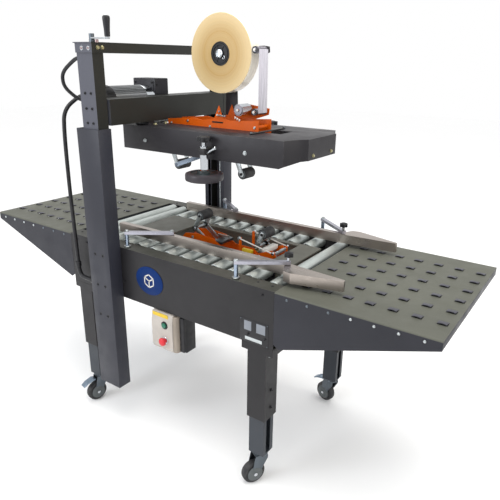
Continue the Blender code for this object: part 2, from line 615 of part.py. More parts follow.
# ---------------------------------------------------------------- control box
part("control_box", "beige", block(BOX_X, (BOX_Y[0] + 0.012, BOX_Y[1]), BOX_Z), add=[
    prism([(BOX_Y[0] + 0.014, BOX_Z[0] + 0.004), (BOX_Y[0] + 0.014, BOX_Z[1] - 0.002),
           (BOX_Y[0] + 0.006, BOX_Z[1] - 0.002), (BOX_Y[0], BOX_Z[1] - 0.040),
           (BOX_Y[0], BOX_Z[0] + 0.010), (BOX_Y[0] + 0.004, BOX_Z[0] + 0.004)],
          "YZ", BOX_X[0] + 0.002, BOX_X[1] - 0.040),
    block((0.010, 0.070), (-0.285, -0.255), (BOX_Z[1] - 0.002, PANEL_BOTTOM - GAP))],
    cut=[bar((BUTTON_X, -0.350, z), (BUTTON_X, BOX_Y[0] + 0.009, z), neck + 0.0008, 20)
         for z, neck in ((START_Z, START_R), (STOP_Z, 0.009))])
face = BOX_Y[0]
part("start_button", "green",
     bar((BUTTON_X, face - 0.007, START_Z), (BUTTON_X, face + 0.002, START_Z), START_R, 20),
     origin=(BUTTON_X, face, START_Z), smooth=True)
part("stop_button", "red",
     bar((BUTTON_X, face - 0.016, STOP_Z), (BUTTON_X, face + 0.002, STOP_Z), 0.009, 20),
     add=[bar((BUTTON_X, face - 0.024, STOP_Z), (BUTTON_X, face - 0.010, STOP_Z),
              STOP_R - 0.003, 24, STOP_R)],
     origin=(BUTTON_X, face, STOP_Z), smooth=True)

# ---------------------------------------------------------------- electric conduit
part("conduit_main", "black", cable(
    [(-0.4157, 0.030, 1.350), (-0.446, 0.030, 1.350), (-0.440, -0.240, 1.345),
     (-0.432, -0.345, 1.290), (-0.427, -0.357, 1.190), (-0.430, -0.357, 0.980),
     (-0.426, -0.357, 0.790), (-0.424, -0.357, 0.660), (-0.405, -0.357, 0.628),
     (-0.315 - GAP, -0.357, 0.627)], 0.0075))
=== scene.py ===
"""The looks of the carton sealer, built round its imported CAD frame.

Metres, +Z up, +X towards the infeed, -Y the operator's side.  Places come from the frame's
nodes and joints.  Each section below makes one group of the machine's pieces.
"""
import json
import math

import bmesh
import bpy
from mathutils import Matrix, Vector


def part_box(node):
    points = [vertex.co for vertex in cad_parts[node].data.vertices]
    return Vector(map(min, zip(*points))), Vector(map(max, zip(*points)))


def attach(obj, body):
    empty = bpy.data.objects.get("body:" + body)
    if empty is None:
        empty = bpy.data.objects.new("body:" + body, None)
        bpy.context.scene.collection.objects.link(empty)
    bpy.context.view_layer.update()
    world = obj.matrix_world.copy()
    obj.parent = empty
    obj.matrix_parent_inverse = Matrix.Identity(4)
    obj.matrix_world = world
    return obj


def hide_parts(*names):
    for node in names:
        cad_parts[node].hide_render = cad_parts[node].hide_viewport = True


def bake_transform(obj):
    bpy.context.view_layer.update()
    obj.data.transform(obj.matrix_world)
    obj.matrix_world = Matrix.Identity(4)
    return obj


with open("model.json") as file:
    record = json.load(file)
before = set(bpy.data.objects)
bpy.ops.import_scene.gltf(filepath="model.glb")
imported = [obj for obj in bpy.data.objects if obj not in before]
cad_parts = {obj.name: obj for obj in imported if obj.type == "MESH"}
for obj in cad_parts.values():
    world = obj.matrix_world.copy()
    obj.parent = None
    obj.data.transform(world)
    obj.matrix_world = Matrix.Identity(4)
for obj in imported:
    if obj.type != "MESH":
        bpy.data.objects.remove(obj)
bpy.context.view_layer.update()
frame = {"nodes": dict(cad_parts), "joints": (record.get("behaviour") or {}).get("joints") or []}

NODES = frame["nodes"]
JOINTS = {joint["child"]: joint for joint in frame["joints"]}
SIDES = {"near": -1, "far": 1}
bpy.context.scene.view_settings.view_transform = "Standard"


def pivot(body):
    """A point on the axis of the joint that moves this body."""
    return Vector(JOINTS[body]["pos_m"])


def middle(node):
    """The middle of a node's box."""
    low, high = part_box(node)
    return (low + high) / 2


# ---------------------------------------------------------------- camera
LENS = 37.92
CAMERA_AT = (1.2925, -1.6017, 1.4716)
YAW, PITCH, ROLL = -0.6072, 0.347, 0.0123


def make_camera():
    forward = Vector((math.sin(YAW) * math.cos(PITCH), math.cos(YAW) * math.cos(PITCH),
                      -math.sin(PITCH)))
    level = Vector((math.cos(YAW), -math.sin(YAW), 0))
    upright = level.cross(forward)
    right = math.cos(ROLL) * level + math.sin(ROLL) * upright
    up = math.cos(ROLL) * upright - math.sin(ROLL) * level
    data = bpy.data.cameras.new("camera")
    data.lens, data.sensor_width = LENS, 36.0
    data.clip_start, data.clip_end = 0.05, 60.0
    camera = bpy.data.objects.new("camera", data)
    bpy.context.scene.collection.objects.link(camera)
    turn = Matrix((right, up, -forward)).transposed().to_4x4()
    camera.matrix_world = Matrix.Translation(CAMERA_AT) @ turn
    bpy.context.scene.camera = camera


make_camera()


# ---------------------------------------------------------------- materials
def shader(name, colour, metallic=0.0, roughness=0.5, **extra):
    """A material, its node tree and its Principled shader, with even values on the sockets."""
    material = bpy.data.materials.new(name)
    material.use_nodes = True
    material.diffuse_color = (*colour, 1)
    tree = material.node_tree
    bsdf = tree.nodes["Principled BSDF"]
    bsdf.inputs["Base Color"].default_value = (*colour, 1)
    bsdf.inputs["Metallic"].default_value = metallic
    bsdf.inputs["Roughness"].default_value = roughness
    for socket, value in extra.items():
        bsdf.inputs[socket.replace("_", " ")].default_value = value
    return material, tree, bsdf


def add(tree, kind, inputs=None, **settings):
    """A node with its settings, and its inputs given as values or as other nodes' sockets."""
    node = tree.nodes.new(kind)
    for key, value in settings.items():
        setattr(node, key, value)
    for key, value in (inputs or {}).items():
        if isinstance(value, bpy.types.NodeSocket):
            tree.links.new(value, node.inputs[key])
        else:
            node.inputs[key].default_value = value
    return node


def noise(tree, scale, detail=3.0, stretch=(1, 1, 1), roughness=0.55):
    """A noise value that stays fixed to the piece."""
    where = add(tree, "ShaderNodeTexCoord").outputs["Object"]
    where = add(tree, "ShaderNodeMapping", {"Vector": where, "Scale": stretch}).outputs["Vector"]
    return add(tree, "ShaderNodeTexNoise", {"Vector": where, "Scale": scale, "Detail": detail,
                                            "Roughness": roughness}).outputs["Fac"]


def spread(tree, value, low, high, start=0.3, end=0.7):
    """A value from start to end moved to the range from low to high."""
    return add(tree, "ShaderNodeMapRange", {"Value": value, "From Min": start, "From Max": end,
                                            "To Min": low, "To Max": high}).outputs["Result"]


def blend(tree, factor, first, second):
    """Two colours, or a colour and a socket, mixed by a factor."""
    mix = add(tree, "ShaderNodeMix", data_type="RGBA")
    for index, value in ((0, factor), (6, first), (7, second)):
        if isinstance(value, bpy.types.NodeSocket):
            tree.links.new(value, mix.inputs[index])
        else:
            mix.inputs[index].default_value = value if index == 0 else (*value, 1)
    return mix.outputs[2]


def edge_mask(tree, radius):
    """About one at the piece's sharp edges and nought on its flats, broken up by noise."""
    rounded = add(tree, "ShaderNodeBevel", {"Radius": radius}, samples=4).outputs["Normal"]
    true = add(tree, "ShaderNodeNewGeometry").outputs["True Normal"]
    along = add(tree, "ShaderNodeVectorMath", {0: rounded, 1: true}, operation="DOT_PRODUCT")
    edge = spread(tree, along.outputs["Value"], 1.0, 0.0, 0.8, 0.99)
    wear_and_highlight_amount = spread(tree, noise(tree, 60, 4), 0.15, 1.0, 0.42, 0.62)
    return add(tree, "ShaderNodeMath", {0: edge, 1: wear_and_highlight_amount}, operation="MULTIPLY").outputs["Value"]


def bump(tree, bsdf, height, distance, strength=0.5):
    out = add(tree, "ShaderNodeBump", {"Height": height, "Distance": distance,
                                       "Strength": strength}).outputs["Normal"]
    tree.links.new(out, bsdf.inputs["Normal"])


def scaled(colour, amount):
    return tuple(min(1.0, c * amount) for c in colour)


def powder_coat(name, colour, roughness=0.48, edge_wear_and_highlight=(0.16, 0.16, 0.16), wear_and_highlight_amount=0.35, painted_light_side=None,
                **extra):
    """Textured paint on sheet steel: a fine peel, uneven tone, and paler edges that are partly
    worn paint and partly a painted highlight.

    The last named argument, when given, is a direction and a colour: faces that look that way take
    that colour, as painted light or shade."""
    extra.setdefault("Specular_IOR_Level", 0.28)
    material, tree, bsdf = shader(name, colour, 0.0, roughness, **extra)
    tone = blend(tree, spread(tree, noise(tree, 3.2, 5), 0, 1), scaled(colour, 0.86),
                 scaled(colour, 1.14))
    specks = spread(tree, noise(tree, 420, 2), 0, 0.35, 0.6, 0.78)
    tone = blend(tree, specks, tone, scaled(colour, 1.6))
    # Painted light or shade: faces that look the given way are blended to the given colour.
    if painted_light_side:
        normal = add(tree, "ShaderNodeNewGeometry").outputs["Normal"]
        along = add(tree, "ShaderNodeVectorMath", {0: normal, 1: painted_light_side[0]},
                    operation="DOT_PRODUCT").outputs["Value"]
        tone = blend(tree, spread(tree, along, 0, 1, 0.7, 0.95), tone, painted_light_side[1])
    # Paler edges: partly worn paint, partly a painted highlight along the edges.
    edges = edge_mask(tree, 0.0016)
    share = add(tree, "ShaderNodeMath", {0: edges, 1: wear_and_highlight_amount}, operation="MULTIPLY")
    tree.links.new(blend(tree, share.outputs["Value"], tone, edge_wear_and_highlight), bsdf.inputs["Base Color"])
    tree.links.new(spread(tree, noise(tree, 14, 5), roughness - 0.07, roughness + 0.1),
                   bsdf.inputs["Roughness"])
    bump(tree, bsdf, noise(tree, 900, 2), 0.0003, 0.35)
    return material


def metal(name, colour, roughness=0.3, stretch=(1, 1, 1), grain=0.1, stain=0.85, **extra):
    """Bare or plated metal, with drawn lines along the axis that stretch leaves short."""
    material, tree, bsdf = shader(name, colour, 1.0, roughness, **extra)
    cloud = spread(tree, noise(tree, 9, 5), 0, 1)
    lines = noise(tree, 160, 4, stretch)
    tone = blend(tree, cloud, scaled(colour, stain), scaled(colour, 1.08))
    tone = blend(tree, spread(tree, lines, 0, 0.35), tone, scaled(colour, 0.72))
    tree.links.new(tone, bsdf.inputs["Base Color"])
    tree.links.new(spread(tree, lines, roughness - grain, roughness + grain, 0.25, 0.75),
                   bsdf.inputs["Roughness"])
    bump(tree, bsdf, lines, 0.0002, 0.25)
    return material


def moulded(name, colour, roughness=0.45, grain=0.0002, scale=700, dust=0.12, **extra):
    """Moulded plastic or rubber: a fine grain, soft tone changes and a little dust."""
    material, tree, bsdf = shader(name, colour, 0.0, roughness, **extra)
    tone = blend(tree, spread(tree, noise(tree, 11, 5), 0, 1), scaled(colour, 0.85),
                 scaled(colour, 1.15))
    powder = spread(tree, noise(tree, 34, 6), 0, dust, 0.5, 0.8)
    tree.links.new(blend(tree, powder, tone, (0.45, 0.44, 0.42)), bsdf.inputs["Base Color"])
    tree.links.new(spread(tree, noise(tree, 45, 4), roughness - 0.06, roughness + 0.12),
                   bsdf.inputs["Roughness"])
    bump(tree, bsdf, noise(tree, scale, 2), grain, 0.4)
    return material


OLIVE_TONE = (0.085, 0.087, 0.07)
# Top faces are tinted olive grey: painted light from above.
CHARCOAL = powder_coat("charcoal powder coat", (0.013, 0.0122, 0.0138), 0.46,
                       painted_light_side=((0, 0, 1), scaled(OLIVE_TONE, 0.4)))
MAST_GREY = powder_coat("mast powder coat", (0.022, 0.023, 0.032), 0.42)
# Faces towards -Y are paler and bluer: painted light and reflection from the front-left.
LIFT_GREY = powder_coat("lift powder coat", (0.015, 0.0155, 0.0128), 0.42,
                        painted_light_side=((0, -1, 0), (0.07, 0.072, 0.09)))
OLIVE = powder_coat("table powder coat", OLIVE_TONE, 0.5, edge_wear_and_highlight=(0.2, 0.2, 0.17))
# The tongues are pressed from the table's sheet; their darker colour is painted shade.
SHADED_TONGUE = powder_coat("tongue powder coat", (0.055, 0.055, 0.068), 0.46)
# The skirts are the table's sheet folded down; their darker, bluer colour is painted shade.
SHADED_SKIRT = powder_coat("skirt powder coat", (0.017, 0.0175, 0.024), 0.46)
DECK = powder_coat("deck powder coat", (0.09, 0.09, 0.074), 0.46, edge_wear_and_highlight=(0.22, 0.21, 0.18))
HEAD_TOP = powder_coat("head powder coat", (0.0165, 0.015, 0.018), 0.44)
LEG_GREY = powder_coat("inner leg coat", (0.032, 0.037, 0.045), 0.44)
GEARBOX = powder_coat("gearbox enamel", (0.012, 0.0115, 0.016), 0.36)
ORANGE = powder_coat("orange enamel", (0.5, 0.078, 0.001), 0.4, edge_wear_and_highlight=(0.42, 0.16, 0.05),
                     wear_and_highlight_amount=0.4, Specular_IOR_Level=0.12)
ZINC = metal("zinc plate", (0.46, 0.49, 0.5), 0.32)
ROLLER_ZINC = metal("roller zinc", (0.56, 0.6, 0.58), 0.52, stretch=(1, 0.06, 1), grain=0.04,
                    stain=0.92)
# Warm tan tint: partly the steel's own tone, partly a painted reflection of warm surroundings.
STAINLESS = metal("brushed stainless", (0.4, 0.355, 0.32), 0.3, stretch=(0.03, 1, 1),
                  grain=0.05, stain=0.92)
CHROME = metal("chrome plate", (0.6, 0.63, 0.66), 0.14, grain=0.03)
BRASSY = metal("yellow zinc", (0.46, 0.43, 0.26), 0.32)
CAST = metal("cast aluminium", (0.4, 0.41, 0.42), 0.4, grain=0.06)
FORK = metal("dark plated fork", (0.13, 0.15, 0.17), 0.34)
PEDAL = metal("blued pedal", (0.24, 0.3, 0.37), 0.36)
STEEL_PINK = metal("turned steel", (0.36, 0.26, 0.26), 0.3)
DISC_GREY = metal("satin grey roller", (0.26, 0.25, 0.28), 0.36)
BLUE_STEEL = metal("blued post", (0.3, 0.36, 0.45), 0.28)
ARM_ZINC = metal("arm zinc", (0.42, 0.42, 0.48), 0.34)
RUBBER = moulded("black rubber", (0.014, 0.014, 0.016), 0.62, 0.0003, 500)
BLACK = moulded("black plastic", (0.008, 0.008, 0.01), 0.42, dust=0.03, Specular_IOR_Level=0.35)
WHITE = moulded("pale nylon", (0.6, 0.58, 0.54), 0.4, dust=0.05)
BEIGE = moulded("beige box", (0.4, 0.365, 0.33), 0.5, dust=0.05)
GREEN = moulded("green button", (0.006, 0.12, 0.07), 0.34, dust=0.0)
RED = moulded("red button", (0.5, 0.01, 0.018), 0.34, dust=0.0)
YELLOW = moulded("yellow plastic", (0.62, 0.42, 0.01), 0.42, dust=0.02)
BLUE = moulded("blue badge", (0.0006, 0.019, 0.105), 0.42, dust=0.0, Specular_IOR_Level=0.12)
GREY = moulded("grey hub", (0.075, 0.085, 0.088), 0.45, dust=0.04)
# Black put where there is only shade: painted shade in openings, pockets and gaps.
PAINTED_SHADE = moulded("dark gap", (0.006, 0.006, 0.006), 0.9, dust=0.0)
DISC_RIM = moulded("disc rim", (0.026, 0.022, 0.027), 0.42, dust=0.03,
                   Specular_IOR_Level=0.35)
TEAL_BLACK = moulded("disc face", (0.008, 0.015, 0.017), 0.4, dust=0.03)
# The control case's side in a darker copy of its beige: painted shade.
SHADED_BEIGE = moulded("shaded beige", (0.26, 0.22, 0.18), 0.5, dust=0.04)
PLATE_GREY = moulded("nameplate field", (0.16, 0.175, 0.2), 0.38, dust=0.04)


def tape_side(name, inner, outer, radius):
    """The edge of wound tape: fine rings and soft bands about the roll's axis."""
    material, tree, bsdf = shader(name, outer, 0.0, 0.4, Specular_IOR_Level=0.25)
    axis = JOINTS["tape_roll"]["pos_m"]
    where = add(tree, "ShaderNodeTexCoord").outputs["Object"]
    where = add(tree, "ShaderNodeMapping", {
        "Vector": where, "Location": [-c for c in axis]}).outputs["Vector"]
    flat = add(tree, "ShaderNodeVectorMath", {0: where, 1: (1, 0, 1)},
               operation="MULTIPLY").outputs["Vector"]
    reach = add(tree, "ShaderNodeVectorMath", {0: flat}, operation="LENGTH").outputs["Value"]
    rings = add(tree, "ShaderNodeTexNoise", {"W": reach, "Scale": 900, "Detail": 3},
                noise_dimensions="1D").outputs["Fac"]
    bands = add(tree, "ShaderNodeTexNoise", {"W": reach, "Scale": 75, "Detail": 4},
                noise_dimensions="1D").outputs["Fac"]
    tone = blend(tree, spread(tree, reach, 0, 1, 0.08, radius), inner, outer)
    tone = blend(tree, spread(tree, bands, 0, 0.3, 0.35, 0.65), tone, scaled(outer, 0.72))
    tone = blend(tree, spread(tree, rings, 0, 0.35, 0.45, 0.75), tone, scaled(outer, 1.22))
    tree.links.new(tone, bsdf.inputs["Base Color"])
    tree.links.new(spread(tree, bands, 0.26, 0.44), bsdf.inputs["Roughness"])
    bump(tree, bsdf, rings, 0.0003, 0.3)
    return material


def film(name, colour, roughness):
    """Glossy tape: faint streaks along it and a soft coat."""
    material, tree, bsdf = shader(name, colour, 0.0, roughness, Coat_Weight=0.5,
                                  Coat_Roughness=0.2)
    streaks = noise(tree, 40, 4, (0.4, 6, 0.4))
    tone = blend(tree, spread(tree, streaks, 0, 1), scaled(colour, 0.86), scaled(colour, 1.12))
    tree.links.new(tone, bsdf.inputs["Base Color"])
    tree.links.new(spread(tree, streaks, roughness - 0.06, roughness + 0.1),
                   bsdf.inputs["Roughness"])
    bump(tree, bsdf, streaks, 0.0002, 0.3)
    return material


TAPE_SIDE = tape_side("tape edge", (0.4, 0.255, 0.09), (0.6, 0.46, 0.25), 0.135)
# Partly the tape's pale cream, partly painted light: brightened so the outer face looks lit.
TAPE_OUTER = film("tape surface", (0.88, 0.82, 0.68), 0.3)
FILM = film("tape film", (0.52, 0.5, 0.56), 0.24)


# ---------------------------------------------------------------- stage and light
def make_stage():
    """A pale floor under a white sky, and soft light."""
    bm = bmesh.new()
    bmesh.ops.create_grid(bm, x_segments=4, y_segments=4, size=14)
    mesh = bpy.data.meshes.new("floor")
    bm.to_mesh(mesh)
    bm.free()
    floor = bpy.data.objects.new("floor", mesh)
    bpy.context.scene.collection.objects.link(floor)
    material, tree, bsdf = shader("pale floor", (0.985, 0.985, 0.985), 0.0, 0.9)
    tone = blend(tree, spread(tree, noise(tree, 1.5), 0, 1), (0.982, 0.982, 0.982),
                 (0.99, 0.99, 0.99))
    tree.links.new(tone, bsdf.inputs["Base Color"])
    mesh.materials.append(material)
    world = bpy.data.worlds.new("soft sky")
    world.use_nodes = True
    world.node_tree.nodes["Background"].inputs["Color"].default_value = (1.0, 1.0, 1.0, 1)
    world.node_tree.nodes["Background"].inputs["Strength"].default_value = 1.0
    bpy.context.scene.world = world
    for name, at, size, power, colour in (
            ("top", (0.4, -0.3, 3.6), 3.0, 90, (1.0, 0.99, 0.95)),
            ("front_left", (-1.6, -3.4, 2.2), 1.8, 60, (0.9, 0.94, 1.0)),
            ("right", (3.6, 0.6, 2.0), 1.6, 18, (1.0, 0.96, 0.9))):
        data = bpy.data.lights.new(name, "AREA")
        data.size, data.energy, data.color = size, power, colour
        light = bpy.data.objects.new(name, data)
        bpy.context.scene.collection.objects.link(light)
        light.location = at
        aim = Vector((0, 0, 0.7)) - Vector(at)
        light.rotation_euler = aim.to_track_quat("-Z", "Y").to_euler()


make_stage()


# ---------------------------------------------------------------- mesh tools
class Piece:
    """One visible mesh, put together from closed shapes that each have a material."""

    def __init__(self, name):
        self.name, self.bm, self.materials = name, bmesh.new(), []

    def take(self, shape, material, place=None):
        """Adds a shape's mesh, and frees it."""
        if material not in self.materials:
            self.materials.append(material)
        index = self.materials.index(material)
        for face in shape.faces:
            face.material_index = index
            face.smooth = True
        if place is not None:
            shape.transform(place)
            if place.to_3x3().determinant() < 0:
                bmesh.ops.reverse_faces(shape, faces=shape.faces)
        mesh = bpy.data.meshes.new("part")
        shape.to_mesh(mesh)
        shape.free()
        self.bm.from_mesh(mesh)
        bpy.data.meshes.remove(mesh)
        return self

    def show(self, body, slot, *nodes):
        """Makes the object, rides it on its body and lets it stand for its CAD nodes."""
        mesh = bpy.data.meshes.new(self.name)
        self.bm.to_mesh(mesh)
        self.bm.free()
        for material in self.materials:
            mesh.materials.append(material)
        mesh.set_sharp_from_angle(angle=math.radians(24))
        piece = bpy.data.objects.new(self.name, mesh)
        bpy.context.scene.collection.objects.link(piece)
        if body:
            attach(piece, body)
        if nodes:
            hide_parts(*nodes)
        return piece


def soften(bm, width, segments=2, limit=25):
    """Rounds every edge that is sharper than the limit."""
    if width <= 0:
        return bm
    bm.normal_update()
    sharp = [e for e in bm.edges if e.is_manifold and e.calc_face_angle(0) > math.radians(limit)]
    bmesh.ops.bevel(bm, geom=sharp, offset=width, segments=segments, profile=0.5, affect="EDGES",
                    clamp_overlap=True)
    return bm


def box(x, y, z, soft=0.0008):
    """A box from three (low, high) pairs, with rounded edges."""
    bm = bmesh.new()
    bmesh.ops.create_cube(bm, size=1.0)
    bmesh.ops.scale(bm, vec=[abs(b - a) for a, b in (x, y, z)], verts=bm.verts)
    bmesh.ops.translate(bm, vec=[(a + b) / 2 for a, b in (x, y, z)], verts=bm.verts)
    return soften(bm, soft)


def lathe(profile, start, end, sides=48):
    """A turned solid: (distance along the axis, radius) pairs, from start towards end."""
    start, along = Vector(start), Vector(end) - Vector(start)
    bm = bmesh.new()
    rings = []
    for distance, radius in profile:
        if radius < 1e-6:
            rings.append([bm.verts.new((0, 0, distance))])
        else:
            rings.append([bm.verts.new((*spot, distance))
                          for spot in circle((0, 0), radius, sides)])
    for first, second in zip(rings, rings[1:]):
        for i in range(sides):
            j = (i + 1) % sides
            loop = [first[i % len(first)], first[j % len(first)], second[j % len(second)],
                    second[i % len(second)]]
            corners = list(dict.fromkeys(loop))
            if len(corners) > 2:
                bm.faces.new(corners)
    if profile[0] == profile[-1]:
        bmesh.ops.remove_doubles(bm, verts=bm.verts, dist=1e-7)
    else:
        for ring in (rings[0], rings[-1]):
            if len(ring) > 2:
                bm.faces.new(ring)
    bmesh.ops.recalc_face_normals(bm, faces=bm.faces)
    if bm.calc_volume(signed=True) < 0:
        bmesh.ops.reverse_faces(bm, faces=bm.faces)
    turn = Vector((0, 0, 1)).rotation_difference(along).to_matrix().to_4x4()
    bm.transform(Matrix.Translation(start) @ turn)
    return bm


def rod(start, end, radius, sides=32, chamfer=0.0006):
    """A round bar with a small chamfer at each end."""
    length = (Vector(end) - Vector(start)).length
    cut = min(chamfer, radius * 0.3, length * 0.3)
    return lathe([(0, 0), (0, radius - cut), (cut, radius), (length - cut, radius),
                  (length, radius - cut), (length, 0)], start, end, sides)


def plate(outline, plane, low, high, soft=0.0006, holes=()):
    """An outline with any holes, in plane "XY", "XZ" or "YZ", drawn out along the third axis."""
    curve = bpy.data.curves.new("outline", "CURVE")
    curve.dimensions, curve.fill_mode = "2D", "BOTH"
    curve.extrude = (high - low) / 2
    for ring in (outline, *holes):
        spline = curve.splines.new("POLY")
        spline.points.add(len(ring) - 1)
        for spot, (a, b) in zip(spline.points, ring):
            spot.co = (a, b, 0, 1)
        spline.use_cyclic_u = True
    holder = bpy.data.objects.new("outline", curve)
    bpy.context.scene.collection.objects.link(holder)
    bpy.context.view_layer.update()
    mesh = bpy.data.meshes.new_from_object(holder)
    bpy.data.objects.remove(holder, do_unlink=True)
    bpy.data.curves.remove(curve)
    bm = bmesh.new()
    bm.from_mesh(mesh)
    bpy.data.meshes.remove(mesh)
    bmesh.ops.remove_doubles(bm, verts=bm.verts, dist=1e-6)
    bmesh.ops.dissolve_limit(bm, angle_limit=0.001, verts=bm.verts, edges=bm.edges)
    middle = (low + high) / 2
    bm.transform({
        "XY": Matrix.Translation((0, 0, middle)),
        "XZ": Matrix(((1, 0, 0, 0), (0, 0, 1, middle), (0, 1, 0, 0), (0, 0, 0, 1))),
        "YZ": Matrix(((0, 0, 1, middle), (1, 0, 0, 0), (0, 1, 0, 0), (0, 0, 0, 1))),
    }[plane])
    bmesh.ops.recalc_face_normals(bm, faces=bm.faces)
    if bm.calc_volume(signed=True) < 0:
        bmesh.ops.reverse_faces(bm, faces=bm.faces)
    return soften(bm, soft)


def around(middle, radius, angle):
    """The point at an angle on a circle."""
    return middle[0] + radius * math.cos(angle), middle[1] + radius * math.sin(angle)


def circle(middle, radius, count=24, start=0.0):
    """Points round a circle, as a hole or an outline."""
    return [around(middle, radius, start + 2 * math.pi * i / count) for i in range(count)]


def smooth_path(points, steps=8):
    """A smooth curve through the points."""
    points = [Vector(p) for p in points]
    ends = [points[0] * 2 - points[1]] + points + [points[-1] * 2 - points[-2]]
    path = []
    for a, b, c, d in zip(ends, ends[1:], ends[2:], ends[3:]):
        for step in range(steps):
            t = step / steps
            path.append(0.5 * (2 * b + (c - a) * t + (2 * a - 5 * b + 4 * c - d) * t * t
                               + (3 * b - a - 3 * c + d) * t ** 3))
    return path + [points[-1]]


def sweep(path, radius, sides=12):
    """A round tube along a path."""
    bm = bmesh.new()
    side = None
    rings = []
    for i, here in enumerate(path):
        along = (path[min(i + 1, len(path) - 1)] - path[max(i - 1, 0)]).normalized()
        if side is None:
            side = along.orthogonal().normalized()
        side = (side - along * side.dot(along)).normalized()
        other = along.cross(side)
        rings.append([bm.verts.new(here + radius * (
            side * math.cos(2 * math.pi * k / sides) + other * math.sin(2 * math.pi * k / sides)))
            for k in range(sides)])
    for first, second in zip(rings, rings[1:]):
        for k in range(sides):
            bm.faces.new((first[k], first[(k + 1) % sides], second[(k + 1) % sides], second[k]))
    bm.faces.new(rings[0])
    bm.faces.new(rings[-1])
    bmesh.ops.recalc_face_normals(bm, faces=bm.faces)
    if bm.calc_volume(signed=True) < 0:
        bmesh.ops.reverse_faces(bm, faces=bm.faces)
    return bm


def spring(start, end, radius, wire, turns, steps=14):
    """A coil spring between two points."""
    start, end = Vector(start), Vector(end)
    along = (end - start).normalized()
    side = along.orthogonal().normalized()
    other = along.cross(side)
    count = turns * steps
    path = [start.lerp(end, i / count) + radius * (
        side * math.cos(2 * math.pi * i / steps) + other * math.sin(2 * math.pi * i / steps))
        for i in range(count + 1)]
    return sweep(path, wire, 8)


def bolt(piece, at, normal, size, kind="hex", material=None, washer=None):
    """A screw head, on a washer if it is a hex one: size is the radius of the thread's shank."""
    material = material or (BLACK if kind == "socket" else ZINC)
    washer = kind == "hex" if washer is None else washer
    at, normal = Vector(at), Vector(normal).normalized()
    base = at - normal * 0.0004
    lift = 0.0
    if washer:
        piece.take(rod(base, at + normal * size * 0.28, size * 2.1, 28, 0.0003), material)
        lift = size * 0.28
    foot = at + normal * lift
    if kind == "hex":
        height = size * 1.2
        piece.take(lathe([(0, 0), (0, size * 1.75), (height * 0.82, size * 1.75),
                          (height, size * 1.5), (height, 0)], foot - normal * 0.0002,
                         foot + normal, 6), material)
    elif kind == "dome":
        profile = [(0, 0)] + [(size * 1.1 * math.sin(a * math.pi / 16),
                               size * 1.7 * math.cos(a * math.pi / 16)) for a in range(8)]
        profile.append((size * 1.1, 0))
        piece.take(lathe(profile, foot - normal * 0.0002, foot + normal, 28), material)
    else:
        height = size * 1.3
        piece.take(lathe([(0, 0), (0, size * 1.55), (height * 0.9, size * 1.55),
                          (height, size * 1.4), (height, size * 0.8), (height * 0.45, size * 0.8),
                          (height * 0.45, 0)], foot - normal * 0.0002, foot + normal, 28),
                   material)


def side_bolts(piece, y, spots, size, kind="hex", material=None, sides=(-1, 1)):
    """Screws on the faces at -y and +y, at each (x, z) spot."""
    for sign in sides:
        for x, z in spots:
            bolt(piece, (x, y * sign, z), (0, sign, 0), size, kind, material)


def keep(node, material, soft=0.0009):
    """Gives a CAD node its finish, and rounded edges by modifiers that leave its mesh alone."""
    obj = NODES[node]
    obj.data.materials.clear()
    obj.data.materials.append(material)
    weld = obj.modifiers.new("weld", "WELD")
    weld.merge_threshold = 0.00002
    rounding = obj.modifiers.new("rounding", "BEVEL")
    rounding.width = soft
    rounding.segments = 2
    rounding.limit_method = "ANGLE"
    rounding.angle_limit = math.radians(35)
    return obj


# ---------------------------------------------------------------- more shape tools
def rounded(points, radius, steps=5):
    """An outline with its corners rounded."""
    outline = []
    for i, here in enumerate(points):
        before, here, after = (Vector(points[(i + k) % len(points)]) for k in (-1, 0, 1))
        reach = min(radius, (before - here).length * 0.48, (after - here).length * 0.48)
        first = here + (before - here).normalized() * reach
        last = here + (after - here).normalized() * reach
        for step in range(steps + 1):
            t = step / steps
            outline.append(tuple(first.lerp(here, t).lerp(here.lerp(last, t), t)))
    return outline


def link(start, end, start_radius, end_radius, steps=12):
    """The outline of a flat bar with round ends."""
    start, end = Vector(start), Vector(end)
    along = end - start
    heading = math.atan2(along.y, along.x)
    outline = []
    for spot, radius, turn in ((end, end_radius, heading), (start, start_radius,
                                                             heading + math.pi)):
        for step in range(steps + 1):
            angle = turn - math.pi / 2 + math.pi * step / steps
            outline.append(around(spot, radius, angle))
    return outline


def carve(shape, *cutters):
    """A shape less its cutters, by exact Booleans."""
    def loose(bm):
        mesh = bpy.data.meshes.new("loose")
        bm.to_mesh(mesh)
        bm.free()
        obj = bpy.data.objects.new("loose", mesh)
        bpy.context.scene.collection.objects.link(obj)
        return obj
    base, tools = loose(shape), [loose(cutter) for cutter in cutters]
    for tool in tools:
        step = base.modifiers.new("cut", "BOOLEAN")
        step.operation, step.solver, step.object = "DIFFERENCE", "EXACT", tool
    bpy.context.view_layer.update()
    result = base.evaluated_get(bpy.context.evaluated_depsgraph_get()).to_mesh()
    bm = bmesh.new()
    bm.from_mesh(result)
    for obj in (base, *tools):
        bpy.data.objects.remove(obj, do_unlink=True)
    return bm


def node_shape(node):
    """A copy of a CAD node's mesh, as one closed shape."""
    bm = bmesh.new()
    bm.from_mesh(NODES[node].data)
    bmesh.ops.remove_doubles(bm, verts=bm.verts, dist=0.00002)
    return bm


def across(x, z, low, high, radius, sides=40, chamfer=0.0006):
    """A round bar that lies along Y."""
    return rod((x, low, z), (x, high, z), radius, sides, chamfer)


def turned(x, z, start, way, profile, sides=48):
    """A turned solid on an axis along Y, from start in the direction of way."""
    return lathe(profile, (x, start, z), (x, start + way, z), sides)


def tube(x, z, start, way, inner, outer, length, sides=48):
    """A plain tube on an axis along Y."""
    return turned(x, z, start, way, [(0, inner), (0, outer), (length, outer), (length, inner),
                                     (0, inner)], sides)


